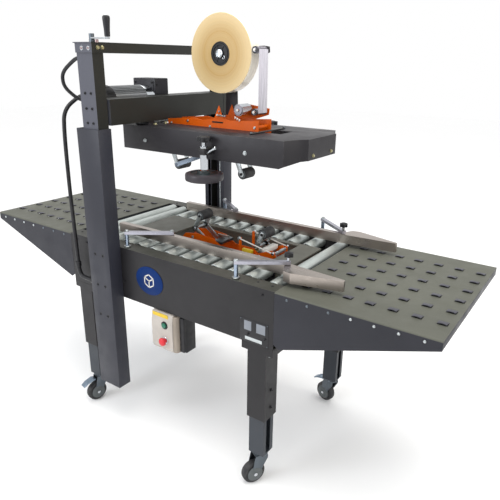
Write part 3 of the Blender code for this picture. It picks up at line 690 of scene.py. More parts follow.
def upright(x, y, low, high, radius, sides=32, chamfer=0.0006):
    """A round bar that stands along Z."""
    return rod((x, y, low), (x, y, high), radius, sides, chamfer)


def raised(x, y, start, profile, sides=48):
    """A turned solid on an upright axis, from start upwards."""
    return lathe(profile, (x, y, start), (x, y, start + 1), sides)


def dial(x, z, index, count, start=0.0):
    """The place of one of count equal parts round an axis along Y."""
    return (Matrix.Translation((x, 0, z))
            @ Matrix.Rotation(start + 2 * math.pi * index / count, 4, "Y"))


def side_pair(sign, low, high):
    """A (low, high) pair in Y on the near (-1) or far (+1) side."""
    return (low, high) if sign > 0 else (-high, -low)


# ---------------------------------------------------------------- cords
CONDUIT_R = 0.0075
CONDUIT = [(-0.446, 0.002, 1.3497), (-0.44, -0.24, 1.345), (-0.432, -0.345, 1.29),
           (-0.427, -0.357, 1.19), (-0.43, -0.357, 0.98), (-0.426, -0.357, 0.79),
           (-0.424, -0.357, 0.676)]
LOOP_R = 0.0065
LOOP = [(-0.2845, -0.352, 1.47), (-0.325, -0.352, 1.47), (-0.405, -0.356, 1.42),
        (-0.41, -0.35, 1.37), (-0.385, -0.31, 1.325), (-0.35, -0.27, 1.318),
        (-0.3435, -0.263, 1.318)]


def cord_path(points, steps=8):
    """The route through the points, rounded at each bend as the CAD tube is."""
    path = [Vector(points[0])]
    for before, here, after in zip(points, points[1:], points[2:]):
        before, here, after = Vector(before), Vector(here), Vector(after)
        first, last = here.lerp(before, 0.42), here.lerp(after, 0.42)
        for step in range(steps + 1):
            t = step / steps
            path.append(first.lerp(here, t).lerp(here.lerp(last, t), t))
    return path + [Vector(points[-1])]


def make_cords():
    """The conduit from the motor down to the bed, and the cable from the column to the motor."""
    path = cord_path(CONDUIT)
    conduit = Piece("conduit").take(sweep(path, CONDUIT_R, 24), BLACK).show(
        None, "black_plastic", "conduit_main")
    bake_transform(conduit)
    top = smooth_path([(-0.416, 0.03, 1.35), (-0.43, 0.03, 1.35),
                       (-0.443, 0.02, 1.35), (-0.446, -0.002, 1.3497)], 6)
    elbow = Piece("conduit_elbow_top").take(sweep(top, CONDUIT_R + 0.0016, 24), BLACK)
    elbow.take(rod((-0.416, 0.03, 1.35), (-0.424, 0.03, 1.35), 0.0125, 6, 0.001), BLACK)
    elbow.take(rod((-0.446, 0.008, 1.3498), (-0.446, -0.006, 1.3496), 0.0118, 28, 0.001), BLACK)
    elbow.show("lift", "black_plastic")
    low = smooth_path([(-0.424, -0.357, 0.682), (-0.4235, -0.357, 0.662),
                       (-0.414, -0.357, 0.637), (-0.392, -0.357, 0.628),
                       (-0.3156, -0.357, 0.627)], 6)
    foot = Piece("conduit_elbow_low").take(sweep(low, CONDUIT_R + 0.0012, 24), BLACK)
    foot.take(rod((-0.424, -0.357, 0.69), (-0.424, -0.357, 0.67), 0.0112, 28, 0.001), BLACK)
    foot.take(rod((-0.331, -0.357, 0.627), (-0.3156, -0.357, 0.627), 0.0135, 6, 0.001), CHROME)
    foot.take(rod((-0.348, -0.357, 0.627), (-0.333, -0.357, 0.627), 0.0118, 28, 0.001), BLACK)
    foot.show("frame", "black_plastic")
    path = cord_path(LOOP)
    loop = Piece("motor_cable").take(sweep(path, LOOP_R, 24), BLACK).show("lift", "black_plastic")


make_cords()


# ---------------------------------------------------------------- bed
BED_Y, BED_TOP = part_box("bed_frame")[1].yz
ROLLER_AXIS_Z = pivot("end_roller_in").z


def make_bed():
    """The folded channels' finish, the deck's, their screws, the ledge's bolts and the tie rods;
    the generic badge and nameplate are made by their own functions.
    """
    keep("bed_frame", CHARCOAL, 0.0012)
    keep("centre_deck", DECK, 0.001)
    for name, sign in SIDES.items():
        screws = Piece(f"bed_screws_{name}")
        axles = [(x, ROLLER_AXIS_Z) for x in (-0.462, -0.398, 0.455)]
        holds = [(x, 0.612) for x in (-0.47, -0.402, 0.402, 0.47)] + [(-0.19, 0.65)]
        side_bolts(screws, BED_Y, axles, 0.0026, "socket", sides=(sign,))
        side_bolts(screws, BED_Y, holds, 0.003, "socket", sides=(sign,))
        screws.show("frame", "zinc")
    ledge = Piece("ledge_bolts")
    for x in (-0.47, 0.414, 0.47):
        for sign in SIDES.values():
            bolt(ledge, (x, 0.289 * sign, BED_TOP), (0, 0, 1), 0.0028, "dome", BLACK)
    ledge.show("frame", "black_plastic")
    rods = Piece("tie_rods")
    for sign in SIDES.values():
        y, z, ends = 0.3 * sign, 0.7, (-0.34, 0.36)
        rods.take(rod((ends[0], y, z), (ends[1], y, z), 0.005, 20), ZINC)
        for x in ends:
            rods.take(rod((x - 0.006, y, z), (x + 0.006, y, z), 0.01, 6), ZINC)
            rods.take(box((x - 0.004, x + 0.004), side_pair(sign, 0.296, 0.3225),
                          (z - 0.01, z + 0.01)), CHARCOAL)
    rods.show("frame", "zinc")


def oval(x, z, wide, high, count=96):
    """Points round an upright ellipse."""
    turns = [2 * math.pi * i / count for i in range(count)]
    return [(x + wide * math.cos(turn), z + high * math.sin(turn)) for turn in turns]


def make_badge():
    """A plain oval badge with a carton drawn on it as a hexagon with three spokes."""
    x, z, face = -0.051, 0.687, -BED_Y
    badge = Piece("round_badge")
    badge.take(plate(oval(x, z, 0.069, 0.056), "XZ", face - 0.0022, face - 0.0003, 0.0008), BLUE)
    badge.take(plate(oval(x, z, 0.062, 0.05), "XZ", face - 0.0028, face - 0.0015, 0.0005), BLUE)
    corners = circle((x, z), 0.026, 6, math.pi / 2)
    lines = list(zip(corners, corners[1:] + corners[:1]))
    lines += [((x, z), corners[i]) for i in (1, 3, 5)]
    for (x0, z0), (x1, z1) in lines:
        badge.take(plate(link((x0, z0), (x1, z1), 0.0022, 0.0022, 6), "XZ", face - 0.0036,
                         face - 0.002, 0.0002), WHITE)
    badge.show("frame", "charcoal_paint")


def make_nameplate():
    """A blank nameplate: a dark frame, two grey fields, and a pale strip below."""
    face = -BED_Y
    plate_piece = Piece("nameplate")
    fields = (((0.368, 0.482), (0.582, 0.667), 0.0008, BLACK),
              ((0.386, 0.415), (0.626, 0.66), 0.0013, PLATE_GREY),
              ((0.435, 0.47), (0.626, 0.66), 0.0013, PLATE_GREY),
              ((0.39, 0.458), (0.59, 0.602), 0.0013, ZINC))
    for x, z, proud, material in fields:
        plate_piece.take(box(x, (face - proud, face + 0.0003), z, 0.0002), material)
    for x in (0.3722, 0.4778):
        for z in (0.5865, 0.6628):
            bolt(plate_piece, (x, face - 0.0008, z), (0, -1, 0), 0.0011, "dome", FORK)
    plate_piece.show("frame", "grey_paint")


def roller_tube(piece, x, low, high, radius, z):
    """A conveyor roller's zinc tube with rolled ends and black bearing caps."""
    span, lip = high - low, radius - 0.005
    piece.take(turned(x, z, low, 1, [
        (0.0022, 0), (0.0022, lip), (0, lip), (0, radius - 0.002), (0.0006, radius - 0.0006),
        (0.0022, radius), (span - 0.0022, radius), (span - 0.0006, radius - 0.0006),
        (span, radius - 0.002), (span, lip), (span - 0.0022, lip), (span - 0.0022, 0)], 64),
        ROLLER_ZINC)
    for start, way in ((low, 1), (high, -1)):
        piece.take(tube(x, z, start + 0.0004 * way, way, 0.0072, lip - 0.0003, 0.0019, 40), BLACK)


def make_rollers():
    """The three full-width rollers, and the two tracks of short ones in their rails."""
    for name in ("end_roller_out_1", "end_roller_out_2", "end_roller_in"):
        low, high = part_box(name)
        x, z = (low.x + high.x) / 2, ROLLER_AXIS_Z
        roller = Piece(name + "_tube")
        roller_tube(roller, x, -0.2615, 0.2615, 0.024, z)
        roller.take(rod((x, low.y, z), (x, high.y, z), 0.006, 6), ZINC)
        roller.show(name, "zinc", name)
    tracks = Piece("roller_tracks")
    left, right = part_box("short_rollers")[0].x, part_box("short_rollers")[1].x
    for sign in SIDES.values():
        for i in range(10):
            x = -0.32 + 0.075 * i
            low, high = side_pair(sign, 0.1372, 0.258)
            roller_tube(tracks, x, low, high, 0.024, ROLLER_AXIS_Z)
            tracks.take(across(x, ROLLER_AXIS_Z, *side_pair(sign, 0.129, 0.2618), 0.006, 6), ZINC)
        for low, high in ((0.1275, 0.1305), (0.259, 0.262)):
            tracks.take(box((left, right), side_pair(sign, low, high),
                            (ROLLER_AXIS_Z - 0.03, ROLLER_AXIS_Z + 0.006), 0.0007), HEAD_TOP)
    tracks.take(box((left, left + 0.006), (-0.262, 0.262),
                    (ROLLER_AXIS_Z - 0.03, ROLLER_AXIS_Z - 0.012), 0.0007), ZINC)
    # A black pan under each track: painted shade in the gaps between the rollers.
    for sign in SIDES.values():
        tracks.take(box((left, right), side_pair(sign, 0.131, 0.2585),
                        (ROLLER_AXIS_Z - 0.03, ROLLER_AXIS_Z - 0.0285), 0.0003), PAINTED_SHADE)
    tracks.show("frame", "zinc", "short_rollers")


# ---------------------------------------------------------------- extension tables
LANCES_X = [0.06 + 0.0715 * i for i in range(7)]
LANCES_Y = [-0.222 + 0.089 * i for i in range(6)]
LANCE_WIDE, LANCE_LONG, LANCE_RISE, SLIT = 0.03, 0.027, 0.0062, 0.0018


def lance(x, y):
    """One tongue, hinged at its far edge, and raised and arched at its mouth."""
    bm = bmesh.new()
    columns, rows = 8, 6
    layers = []
    for drop in (0.0, 0.0022):
        grid = []
        for j in range(rows + 1):
            t = j / rows
            lift = LANCE_RISE * (1 - math.cos(math.pi * min(1.0, t * 1.15))) / 2
            grid.append([])
            for i in range(columns + 1):
                u = 2 * i / columns - 1
                arch = 1 - 0.42 * u * u * t
                grid[-1].append(bm.verts.new((
                    x + u * (LANCE_WIDE / 2 - SLIT * (0.2 + 0.8 * t)),
                    y + LANCE_LONG / 2 - t * LANCE_LONG, BED_TOP + lift * arch - drop)))
        layers.append(grid)
    top, low = layers
    for j in range(rows):
        for i in range(columns):
            bm.faces.new((top[j][i], top[j][i + 1], top[j + 1][i + 1], top[j + 1][i]))
            bm.faces.new((low[j][i], low[j + 1][i], low[j + 1][i + 1], low[j][i + 1]))
    rim = ([(0, i) for i in range(columns + 1)] + [(j, columns) for j in range(1, rows + 1)]
           + [(rows, i) for i in range(columns - 1, -1, -1)]
           + [(j, 0) for j in range(rows - 1, 0, -1)])
    for (j, i), (m, n) in zip(rim, rim[1:] + rim[:1]):
        bm.faces.new((top[j][i], top[m][n], low[m][n], low[j][i]))
    bmesh.ops.recalc_face_normals(bm, faces=bm.faces)
    return bm


def make_table(name, way):
    """A folded tray: a top with rows of raised tongues, tapered skirts and screws along them; the
    tongues and skirts are painted darker as painted shade, and black pockets of painted shade sit
    under the tongues.
    """
    low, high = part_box(name)
    near, far = (low.x, high.x) if way > 0 else (high.x, low.x)
    table = Piece(name + "_tray")
    fold = 0.0045
    holes = []
    for x in (near + way * step for step in LANCES_X):
        for y in LANCES_Y:
            w, l = LANCE_WIDE / 2, LANCE_LONG / 2
            holes.append([(x - w, y - l), (x + w, y - l), (x + w, y + l - 0.0004),
                          (x - w, y + l - 0.0004)])
            # Tongues in the darker coat: painted shade.
            table.take(lance(x, y), SHADED_TONGUE)
            # A black pocket under each tongue's hole: painted shade in its mouth.
            table.take(box((x - w - 0.002, x + w + 0.002), (y - l - 0.002, y + l + 0.002),
                           (BED_TOP - 0.0062, BED_TOP - 0.0046), 0), PAINTED_SHADE)
    table.take(plate([(near, -BED_Y + fold), (far, -BED_Y + fold), (far, BED_Y - fold),
                      (near, BED_Y - fold)], "XY", BED_TOP - 0.003, BED_TOP, 0, holes), OLIVE)
    arc = [around((0, 0), 1, math.radians(a)) for a in range(0, 91, 15)]
    skirt = [(near, BED_TOP - fold), (far, BED_TOP - fold), (far, 0.76),
             (near + 0.02 * way, 0.591), (near, 0.605)]
    for sign in SIDES.values():
        strip = [((BED_Y - fold + c * fold) * sign, BED_TOP - fold + s * fold) for c, s in arc]
        strip += [((BED_Y - fold + c * (fold - 0.003)) * sign,
                   BED_TOP - fold + s * (fold - 0.003)) for c, s in reversed(arc)]
        table.take(plate(strip, "YZ", min(near, far), max(near, far), 0), OLIVE)
        # Skirts in the darker coat: painted shade.
        table.take(plate(skirt, "XZ", *side_pair(sign, BED_Y - 0.003, BED_Y), 0), SHADED_SKIRT)
        for i in range(7):
            x = near + way * (0.045 + 0.0712 * i)
            bolt(table, (x, BED_Y * sign, BED_TOP - 0.016), (0, sign, 0), 0.0028, "dome",
                 ZINC if i > 2 else FORK)
    for edge, bottom in ((near, 0.607), (far, 0.761)):
        inward = 0.003 * (way if edge == near else -way)
        table.take(box(sorted((edge, edge + inward)), (-BED_Y + 0.001, BED_Y - 0.001),
                       (bottom, BED_TOP - 0.001), 0.0006), SHADED_SKIRT)
    table.show("frame", "olive_paint", name)


make_bed()
make_badge()
make_nameplate()
make_rollers()
make_table("table_in", 1)
make_table("table_out", -1)


# ---------------------------------------------------------------- legs and casters
LEG_X, LEG_Y = 0.4375, 0.2875


def make_stand(name, way):
    """The leg brackets' bolts and the clamp screws of the sliding legs."""
    keep("leg_stand_" + name, CHARCOAL, 0.0014)
    bolts = Piece("stand_bolts_" + name)
    x = LEG_X * way
    for sign in SIDES.values():
        for z in (0.33, 0.4):
            bolt(bolts, (x + 0.0375 * way, LEG_Y * sign, z), (way, 0, 0), 0.0036, "socket")
        for dx in (-0.046, 0.046):
            for dy in (-0.028, 0.028):
                bolt(bolts, (x + dx, LEG_Y * sign + dy, 0.552), (0, 0, -1), 0.0032, "hex", ZINC)
    bolts.show("frame", "zinc")


def make_caster(name):
    """A pressed fork, a rubber-tyred wheel, and the brake pedal where there is one."""
    fork_body, wheel_body = "caster_fork_" + name, "caster_wheel_" + name
    swivel, hub = pivot(fork_body), pivot(wheel_body)
    ahead = (hub - swivel).to_2d()
    put = (Matrix.Translation((swivel.x, swivel.y, 0))
           @ Matrix.Rotation(math.atan2(ahead.y, ahead.x), 4, "Z"))
    trail, z = ahead.length, hub.z
    fork = Piece("fork_" + name)
    fork.take(lathe([(0, 0), (0, 0.0215), (0.002, 0.0258), (0.0058, 0.027), (0.0075, 0.0262),
                     (0.0078, 0.0235), (0.0092, 0.0235), (0.0096, 0.0262), (0.0112, 0.0268),
                     (0.0159, 0.025), (0.0162, 0.024), (0.0162, 0)],
                    (0, 0, 0.1135), (0, 0, 1), 56), FORK, put)
    cheek = rounded([(-0.02, 0.12), (-0.022, 0.104), (0.018, 0.034), (0.03, 0.0305),
                     (0.042, 0.037), (0.043, 0.052), (0.032, 0.108), (0.028, 0.12)], 0.007)
    for low in (-0.0205, 0.0177):
        fork.take(plate(cheek, "XZ", low, low + 0.0028, 0.0007), FORK, put)
    crown = rounded([(-0.0205, -0.0205), (0.0285, -0.0205), (0.0285, 0.0205),
                     (-0.0205, 0.0205)], 0.006)
    fork.take(plate(crown, "XY", 0.1168, 0.1196, 0.0008), FORK, put)
    fork.take(rod((trail, -0.0205, z), (trail, 0.0205, z), 0.005, 20), FORK, put)
    for way in (-1, 1):
        nut = Piece("nut")
        bolt(nut, (trail, 0.02 * way, z), (0, way, 0), 0.0042, "hex", CHROME, washer=False)
        fork.take(nut.bm, CHROME, put)
        fork.take(turned(trail, z, 0.0176 * way, way, [
            (0, 0), (0, 0.03), (0.0016, 0.0296), (0.0036, 0.025), (0.0042, 0.012),
            (0.0042, 0)], 56), GREY, put)
    fork.show(fork_body, "zinc", fork_body)

    wheel = Piece("wheel_" + name)
    half, radius = 0.015, z
    wheel.take(turned(trail, z, -half, 1, [
        (0.0012, 0.029), (0, 0.0305), (0.0002, radius - 0.0085), (0.0018, radius - 0.0036),
        (0.0052, radius - 0.0008), (0.01, radius), (0.02, radius), (0.0248, radius - 0.0008),
        (0.0282, radius - 0.0036), (0.0298, radius - 0.0085), (0.03, 0.0305),
        (0.0288, 0.029), (0.0012, 0.029)], 96), RUBBER, put)
    wheel.take(turned(trail, z, -half, 1, [
        (0.004, 0.006), (0.004, 0.0125), (0.0058, 0.015), (0.006, 0.025), (0.0022, 0.0275),
        (0.0018, 0.0296), (0.0282, 0.0296), (0.0278, 0.0275), (0.024, 0.025),
        (0.0242, 0.015), (0.026, 0.0125), (0.026, 0.006), (0.004, 0.006)], 64), GREY, put)
    for way in (-1, 1):
        wheel.take(turned(trail, z, 0.0105 * way, way, [
            (0, 0.006), (0, 0.0124), (0.005, 0.0118), (0.0067, 0.01), (0.0067, 0.006),
            (0, 0.006)], 40), GREY, put)
        for i in range(6):
            spoke = box((0.011, 0.0262), sorted((0.009 * way, 0.0108 * way)),
                        (-0.0018, 0.0018), 0.0005)
            wheel.take(spoke, GREY, put @ dial(trail, z, i, 6))
    wheel.show(wheel_body, "rubber", wheel_body)

    pedal_body = "brake_pedal_" + name
    if pedal_body not in JOINTS:
        return
    pedal = Piece("pedal_" + name)
    line = rounded([(0.0362, 0.1062), (0.0362, 0.1118), (0.046, 0.1148), (0.078, 0.103),
                    (0.094, 0.09), (0.092, 0.086), (0.074, 0.097), (0.05, 0.104)], 0.0018)
    pedal.take(plate(line, "XZ", -0.0148, 0.0148, 0.0008), PEDAL, put)
    for i in range(6):
        t = i / 5
        rib = Vector((0.066 + 0.024 * t, 0, 0.1082 - 0.0146 * t))
        pedal.take(rod(rib + Vector((0, -0.0125, 0)), rib + Vector((0, 0.0125, 0)), 0.0011, 12),
                   PEDAL, put)
    pedal.show(pedal_body, "zinc", pedal_body)


make_stand("in", 1)
make_stand("out", -1)
for corner in ("in_near", "in_far", "out_near", "out_far"):
    keep("leg_inner_" + corner, LEG_GREY, 0.0012)
    make_caster(corner)


# ---------------------------------------------------------------- masts and lift frame
def make_mast(name, sign):
    """A folded channel with real screw holes, and its black socket screws set into them."""
    low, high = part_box("mast_" + name)
    tip, root = max(abs(low.y), abs(high.y)), min(abs(low.y), abs(high.y))
    left, right, wall = low.x, high.x, 0.003
    outline = [(left, root), (left, tip), (right, tip), (right, root), (right - 0.02, root),
               (right - 0.02, root + wall), (right - wall, root + wall),
               (right - wall, tip - wall), (left + wall, tip - wall), (left + wall, root + wall),
               (left + 0.02, root + wall), (left + 0.02, root)]
    shape = plate([(x, y * sign) for x, y in outline], "XY", low.z, high.z, 0.0009)
    spots = [(x, z) for x in (-0.2765, -0.2335) for z in (0.763, 0.636, 0.508)]
    cutters = [across(x, z, *side_pair(sign, tip - 0.006, tip + 0.004), 0.0068, 28, 0.0001)
               for x, z in spots]
    mast = Piece("mast_channel_" + name).take(carve(shape, *cutters), MAST_GREY)
    for x, z in spots:
        mast.take(turned(x, z, (tip - 0.0036) * sign, sign, [
            (0, 0), (0, 0.0062), (0.0026, 0.0062), (0.003, 0.0056), (0.003, 0.003),
            (0.0008, 0.003), (0.0008, 0)], 28), BLACK)
    mast.show("frame", "charcoal_paint", "mast_" + name)


def make_lift_frame():
    """Screws on the columns and the top bar, and the bar's cap."""
    keep("lift_frame", LIFT_GREY, 0.0012)
    screws = Piece("lift_screws")
    side_bolts(screws, 0.378, [(x, z) for x in (-0.257, -0.227)
                               for z in (1.356, 1.3047, 1.2554)], 0.0028, "socket")
    for sign in SIDES.values():
        for x, z in ((-0.2527, 1.5015), (-0.2185, 1.5015)):
            screws.take(rod((x, 0.3808 * sign, z), (x, 0.382 * sign, z), 0.0074, 32), CHROME)
            bolt(screws, (x, 0.382 * sign, z), (0, sign, 0), 0.0021, "hex", STEEL_PINK,
                 washer=False)
        for y in (0.3566, 0.3375):
            bolt(screws, (-0.2, y * sign, 1.5035), (1, 0, 0), 0.0034, "hex", BRASSY)
    screws.show("lift", "zinc")
    cap = Piece("top_bar_cap")
    cap.take(box((-0.294, -0.1995), (-0.3835, 0.3835), (1.5176, 1.5206), 0.0008), LIFT_GREY)
    cap.show("lift", "charcoal_paint")


def make_crank():
    """The lift crank on its shaft, and its loose grip."""
    axis, grip_axis = pivot("crank"), pivot("crank_grip")
    low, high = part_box("crank")
    x, y, base, end = axis.x, axis.y, low.z, grip_axis.x
    crank = Piece("crank_arm")
    crank.take(raised(x, y, base + 0.0024, [
        (0, 0), (0, 0.0098), (0.0075, 0.0098), (0.0085, 0.0088), (0.026, 0.0088),
        (0.0266, 0.008), (0.0266, 0)], 40), FORK)
    arm = link((x, y), (end, y), 0.008, 0.0068)
    tilt = (Matrix.Translation((x, y, 1.5335)) @ Matrix.Rotation(math.radians(1.2), 4, "Y")
            @ Matrix.Translation((-x, -y, 0)))
    crank.take(plate(arm, "XY", -0.0024, 0.0024, 0.0009), CHROME, tilt)
    crank.take(upright(end, y, 1.531, high.z, 0.004, 24), CHROME)
    crank.take(upright(end, y, 1.5306, 1.5356, 0.0085, 6), CHROME)
    crank.show("crank", "zinc", "crank")
    grip = Piece("crank_handle")
    low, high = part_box("crank_grip")
    tall = high.z - low.z
    grip.take(raised(end, y, low.z, [
        (0, 0), (0, 0.0082), (0.0014, 0.0092), (tall * 0.3, 0.0096), (tall * 0.62, 0.0112),
        (tall * 0.86, 0.0124), (tall - 0.003, 0.0116), (tall, 0.008), (tall + 0.0002, 0)], 40),
        BLACK)
    grip.show("crank_grip", "black_plastic", "crank_grip")
    stud = Piece("screw_stud").take(rod((x + 0.024, y, 1.5184), (x + 0.024, y, 1.529), 0.006,
                                        24), STEEL_PINK)
    stud.show("lift", "zinc")


def make_motor():
    """A finned motor with a fan cover whose slots are thin black strips of painted shade, on its
    worm gearbox behind the beam.
    """
    x, z = -0.3435, 1.318
    motor = Piece("motor_body")
    outline = []
    fins = 40
    for i in range(fins):
        for shift, radius in ((0.0, 0.05), (0.3, 0.05), (0.36, 0.0538), (0.64, 0.0538),
                              (0.7, 0.05)):
            outline.append(around((x, z), radius, 2 * math.pi * (i + shift) / fins))
    motor.take(plate(outline, "XZ", -0.212, -0.048, 0), CAST)
    motor.take(turned(x, z, -0.048, 1, [(0, 0), (0, 0.0525), (0.0015, 0.0539), (0.04, 0.0539),
                                         (0.043, 0.052), (0.043, 0)], 72), CHROME)
    motor.take(turned(x, z, -0.211, -1, [
        (0, 0), (0, 0.0565), (0.001, 0.0569), (0.038, 0.0569), (0.045, 0.0545),
        (0.0495, 0.049), (0.051, 0.044), (0.051, 0.042), (0.048, 0.0415), (0.048, 0)], 72),
        BLACK)
    for i in range(12):
        spin = dial(x, z, i, 12)
        motor.take(box((0.01, 0.0425), (-0.2614, -0.258), (-0.0016, 0.0016), 0.0004), BLACK,
                   spin)
        # Thin black strips on the fan cover: painted shade standing for its slots.
        motor.take(box((0.0566, 0.0571), (-0.248, -0.22), (-0.003, 0.003), 0.0001), PAINTED_SHADE,
                   spin)
    for inner in (0.0104, 0.0204, 0.0304):
        motor.take(tube(x, z, -0.2614, 1, inner, inner + 0.0022, 0.0036, 56), BLACK)
    motor.take(box((-0.415, -0.2905), (-0.006, 0.07), (1.262, 1.396), 0.0035), GEARBOX)
    motor.take(box((-0.405, -0.299), (-0.0095, 0.0), (1.272, 1.386), 0.0015), GEARBOX)
    for px in (-0.399, -0.305):
        for pz in (1.278, 1.38):
            bolt(motor, (px, -0.0095, pz), (0, -1, 0), 0.0026, "socket")
            bolt(motor, (px, 0.07, pz), (0, 1, 0), 0.0032, "hex", ZINC)
    for pz in (1.3, 1.336, 1.372):
        bolt(motor, (-0.2905, 0.004, pz), (1, 0, 0), 0.0022, "socket")
    motor.take(box((-0.345, -0.2843), (0.002, 0.062), (1.27, 1.322), 0.003), GEARBOX)
    motor.show("lift", "grey_paint", "motor")
    beam = Piece("beam_gland")
    beam.take(rod((-0.2842, -0.352, 1.47), (-0.2925, -0.352, 1.47), 0.0105, 6), BLACK)
    beam.take(lathe([(0, 0), (0, 0.0098), (0.01, 0.0086), (0.016, 0.007), (0.016, 0)],
                    (-0.292, -0.352, 1.47), (-1, -0.352, 1.47), 28), BLACK)
    beam.take(lathe([(0, 0), (0, 0.0098), (0.007, 0.0086), (0.01, 0.007), (0.01, 0)],
                    (-0.3435, -0.2612, 1.318), (-0.3435, -1, 1.318), 28), BLACK)
    beam.show("lift", "black_plastic")


def make_lead_screws():
    """The screws inside the columns, seen through the masts' slots."""
    for name, sign in SIDES.items():
        profile, pitch, count = [(0, 0)], 0.006, 145
        for i in range(count):
            profile += [(i * pitch + 0.0005, 0.0042), (i * pitch + 0.003, 0.005),
                        (i * pitch + 0.0055, 0.0042)]
        profile.append((count * pitch, 0))
        screw = Piece("lead_screw_" + name)
        screw.take(lathe(profile, (-0.2365, 0.345 * sign, 0.612), (-0.2365, 0.345 * sign, 2), 16),
                   ZINC)
        screw.show("lift", "zinc")


for name, sign in SIDES.items():
    make_mast(name, sign)
make_lift_frame()
make_crank()
make_motor()
make_lead_screws()


# ---------------------------------------------------------------- pressing head
HEAD_Y, HEAD_TOP_Z = 0.18, 1.2325


def make_head():
    """The pressing head's folded cover, its bolts, and a link across its top."""
    post = pivot("press_wheel_near")
    cutters = [box((post.x - 0.032, post.x + 0.032), side_pair(sign, HEAD_Y + 0.0002, 0.25),
                   (1.1, 1.23), 0) for sign in SIDES.values()]
    cover = carve(node_shape("head_frame"), *cutters)
    Piece("head_cover").take(soften(cover, 0.0012, 2, 35), HEAD_TOP).show(
        "lift", "charcoal_paint", "head_frame")
    head = Piece("head_fittings")
    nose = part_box("head_frame")[1].x
    side_bolts(head, HEAD_Y, [(-0.1834, 1.18), (0.2793, 1.18)], 0.0036)
    for sign in SIDES.values():
        bolt(head, (nose, 0.064 * sign, 1.177), (1, 0, 0), 0.003, "hex", BRASSY)
    for y in (-0.118, -0.062, 0.068, 0.118):
        bolt(head, (-0.188, y, HEAD_TOP_Z), (0, 0, 1), 0.0042, "hex", BRASSY)
    start, end = (0.26, -0.1166), (0.261, 0.091)
    head.take(plate(link(start, end, 0.0062, 0.0062), "XY", HEAD_TOP_Z + 0.0006,
                    HEAD_TOP_Z + 0.0046, 0.0007), CHARCOAL)
    for x, y in (start, end):
        bolt(head, (x, y, HEAD_TOP_Z + 0.0046), (0, 0, 1), 0.0026, "hex", FORK)
    head.show("lift", "zinc")


def lobed(radius, depth, lobes=6, steps=10):
    """The outline of a star knob about the origin."""
    outline = []
    for i in range(lobes * steps):
        turn = 2 * math.pi * i / (lobes * steps)
        reach = radius + depth * math.cos(lobes * turn)
        outline.append(around((0, 0), reach, turn))
    return outline


def knob(piece, at, low, high, radius):
    """A star knob with a domed top and a pale insert."""
    place = Matrix.Translation((at[0], at[1], 0))
    piece.take(plate(lobed(radius * 0.86, radius * 0.13), "XY", low, high, 0.0022), BLACK,
               place)
    piece.take(raised(0, 0, high - 0.0006, [
        (0, 0), (0, radius * 0.72), (0.0016, radius * 0.66), (0.003, radius * 0.44),
        (0.0032, radius * 0.3), (0.0024, radius * 0.28), (0.0024, 0)], 40), BLACK, place)


def make_press_posts():
    """The chrome posts, star knobs and clamps of the side pressing wheels, and the wheels."""
    for name, sign in SIDES.items():
        low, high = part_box("press_wheel_" + name)
        axis = pivot("press_wheel_" + name)
        x, y = axis.x, axis.y
        post = Piece("press_post_" + name)
        rise = 0.016 if sign > 0 else 0.0
        post.take(upright(x, y, 1.1119, 1.193, 0.0132, 48, 0.0012), CHROME)
        post.take(upright(x, y, 1.192, 1.21 + rise, 0.0075, 32, 0.0005), CHROME)
        post.take(upright(x, y, 1.206 + rise, 1.211 + rise, 0.014, 32, 0.0012), BLACK)
        knob(post, (x, y), 1.2105 + rise, 1.2245 + rise, 0.027)
        post.take(box((x - 0.0142, x + 0.0162), side_pair(sign, HEAD_Y - 0.0005, abs(y) + 0.0165),
                      (1.164, 1.186), 0.003), CHARCOAL)
        foot, tip = Vector((x + 0.014, y - 0.002, 1.17)), Vector((x + 0.05, y - 0.006, 1.189))
        post.take(rod(foot, tip, 0.0042, 24), CHROME)
        post.take(rod(tip - (tip - foot).normalized() * 0.004,
                      tip + (tip - foot).normalized() * 0.01, 0.0062, 24, 0.0016), CHROME)
        bolt(post, (x - 0.0142, y, 1.175), (-1, 0, 0), 0.0032, "hex", ZINC)
        post.show("lift", "chrome")
        wheel = Piece("press_disc_" + name)
        tall = 0.027
        wheel.take(raised(x, y, low.z, [
            (0, 0), (0, 0.06), (0.0022, 0.0652), (0.006, 0.0668), (0.02, 0.0668),
            (0.0246, 0.065), (tall, 0.059), (tall, 0.05), (tall - 0.003, 0.047),
            (tall - 0.003, 0)], 96), DISC_RIM)
        wheel.take(raised(x, y, low.z + tall - 0.0034, [
            (0, 0), (0, 0.0472), (0.0018, 0.047), (0.0022, 0.025), (0.004, 0.021),
            (0.0106, 0.02), (0.0112, 0.0186), (0.0112, 0)], 72), TEAL_BLACK)
        wheel.take(raised(x, y, high.z - 0.003, [
            (0, 0), (0, 0.015), (0.0012, 0.0155), (0.0012, 0)], 40), CHROME)
        wheel.show("press_wheel_" + name, "grey_roller", "press_wheel_" + name)


def blade(start, end, back, edge):
    """A toothed cutter across X from start to end, with its teeth on the edge's side."""
    pitch, depth, count = 0.0025, math.copysign(0.004, edge - back), 23
    outline = [(start, edge), (start, back), (end, back), (end, edge)]
    outline += [(end - pitch * (i + 0.5), edge + (depth if i % 2 == 0 else 0))
                for i in range(count)]
    return plate(outline, "XZ", -0.0012, 0.0012, 0.0002)


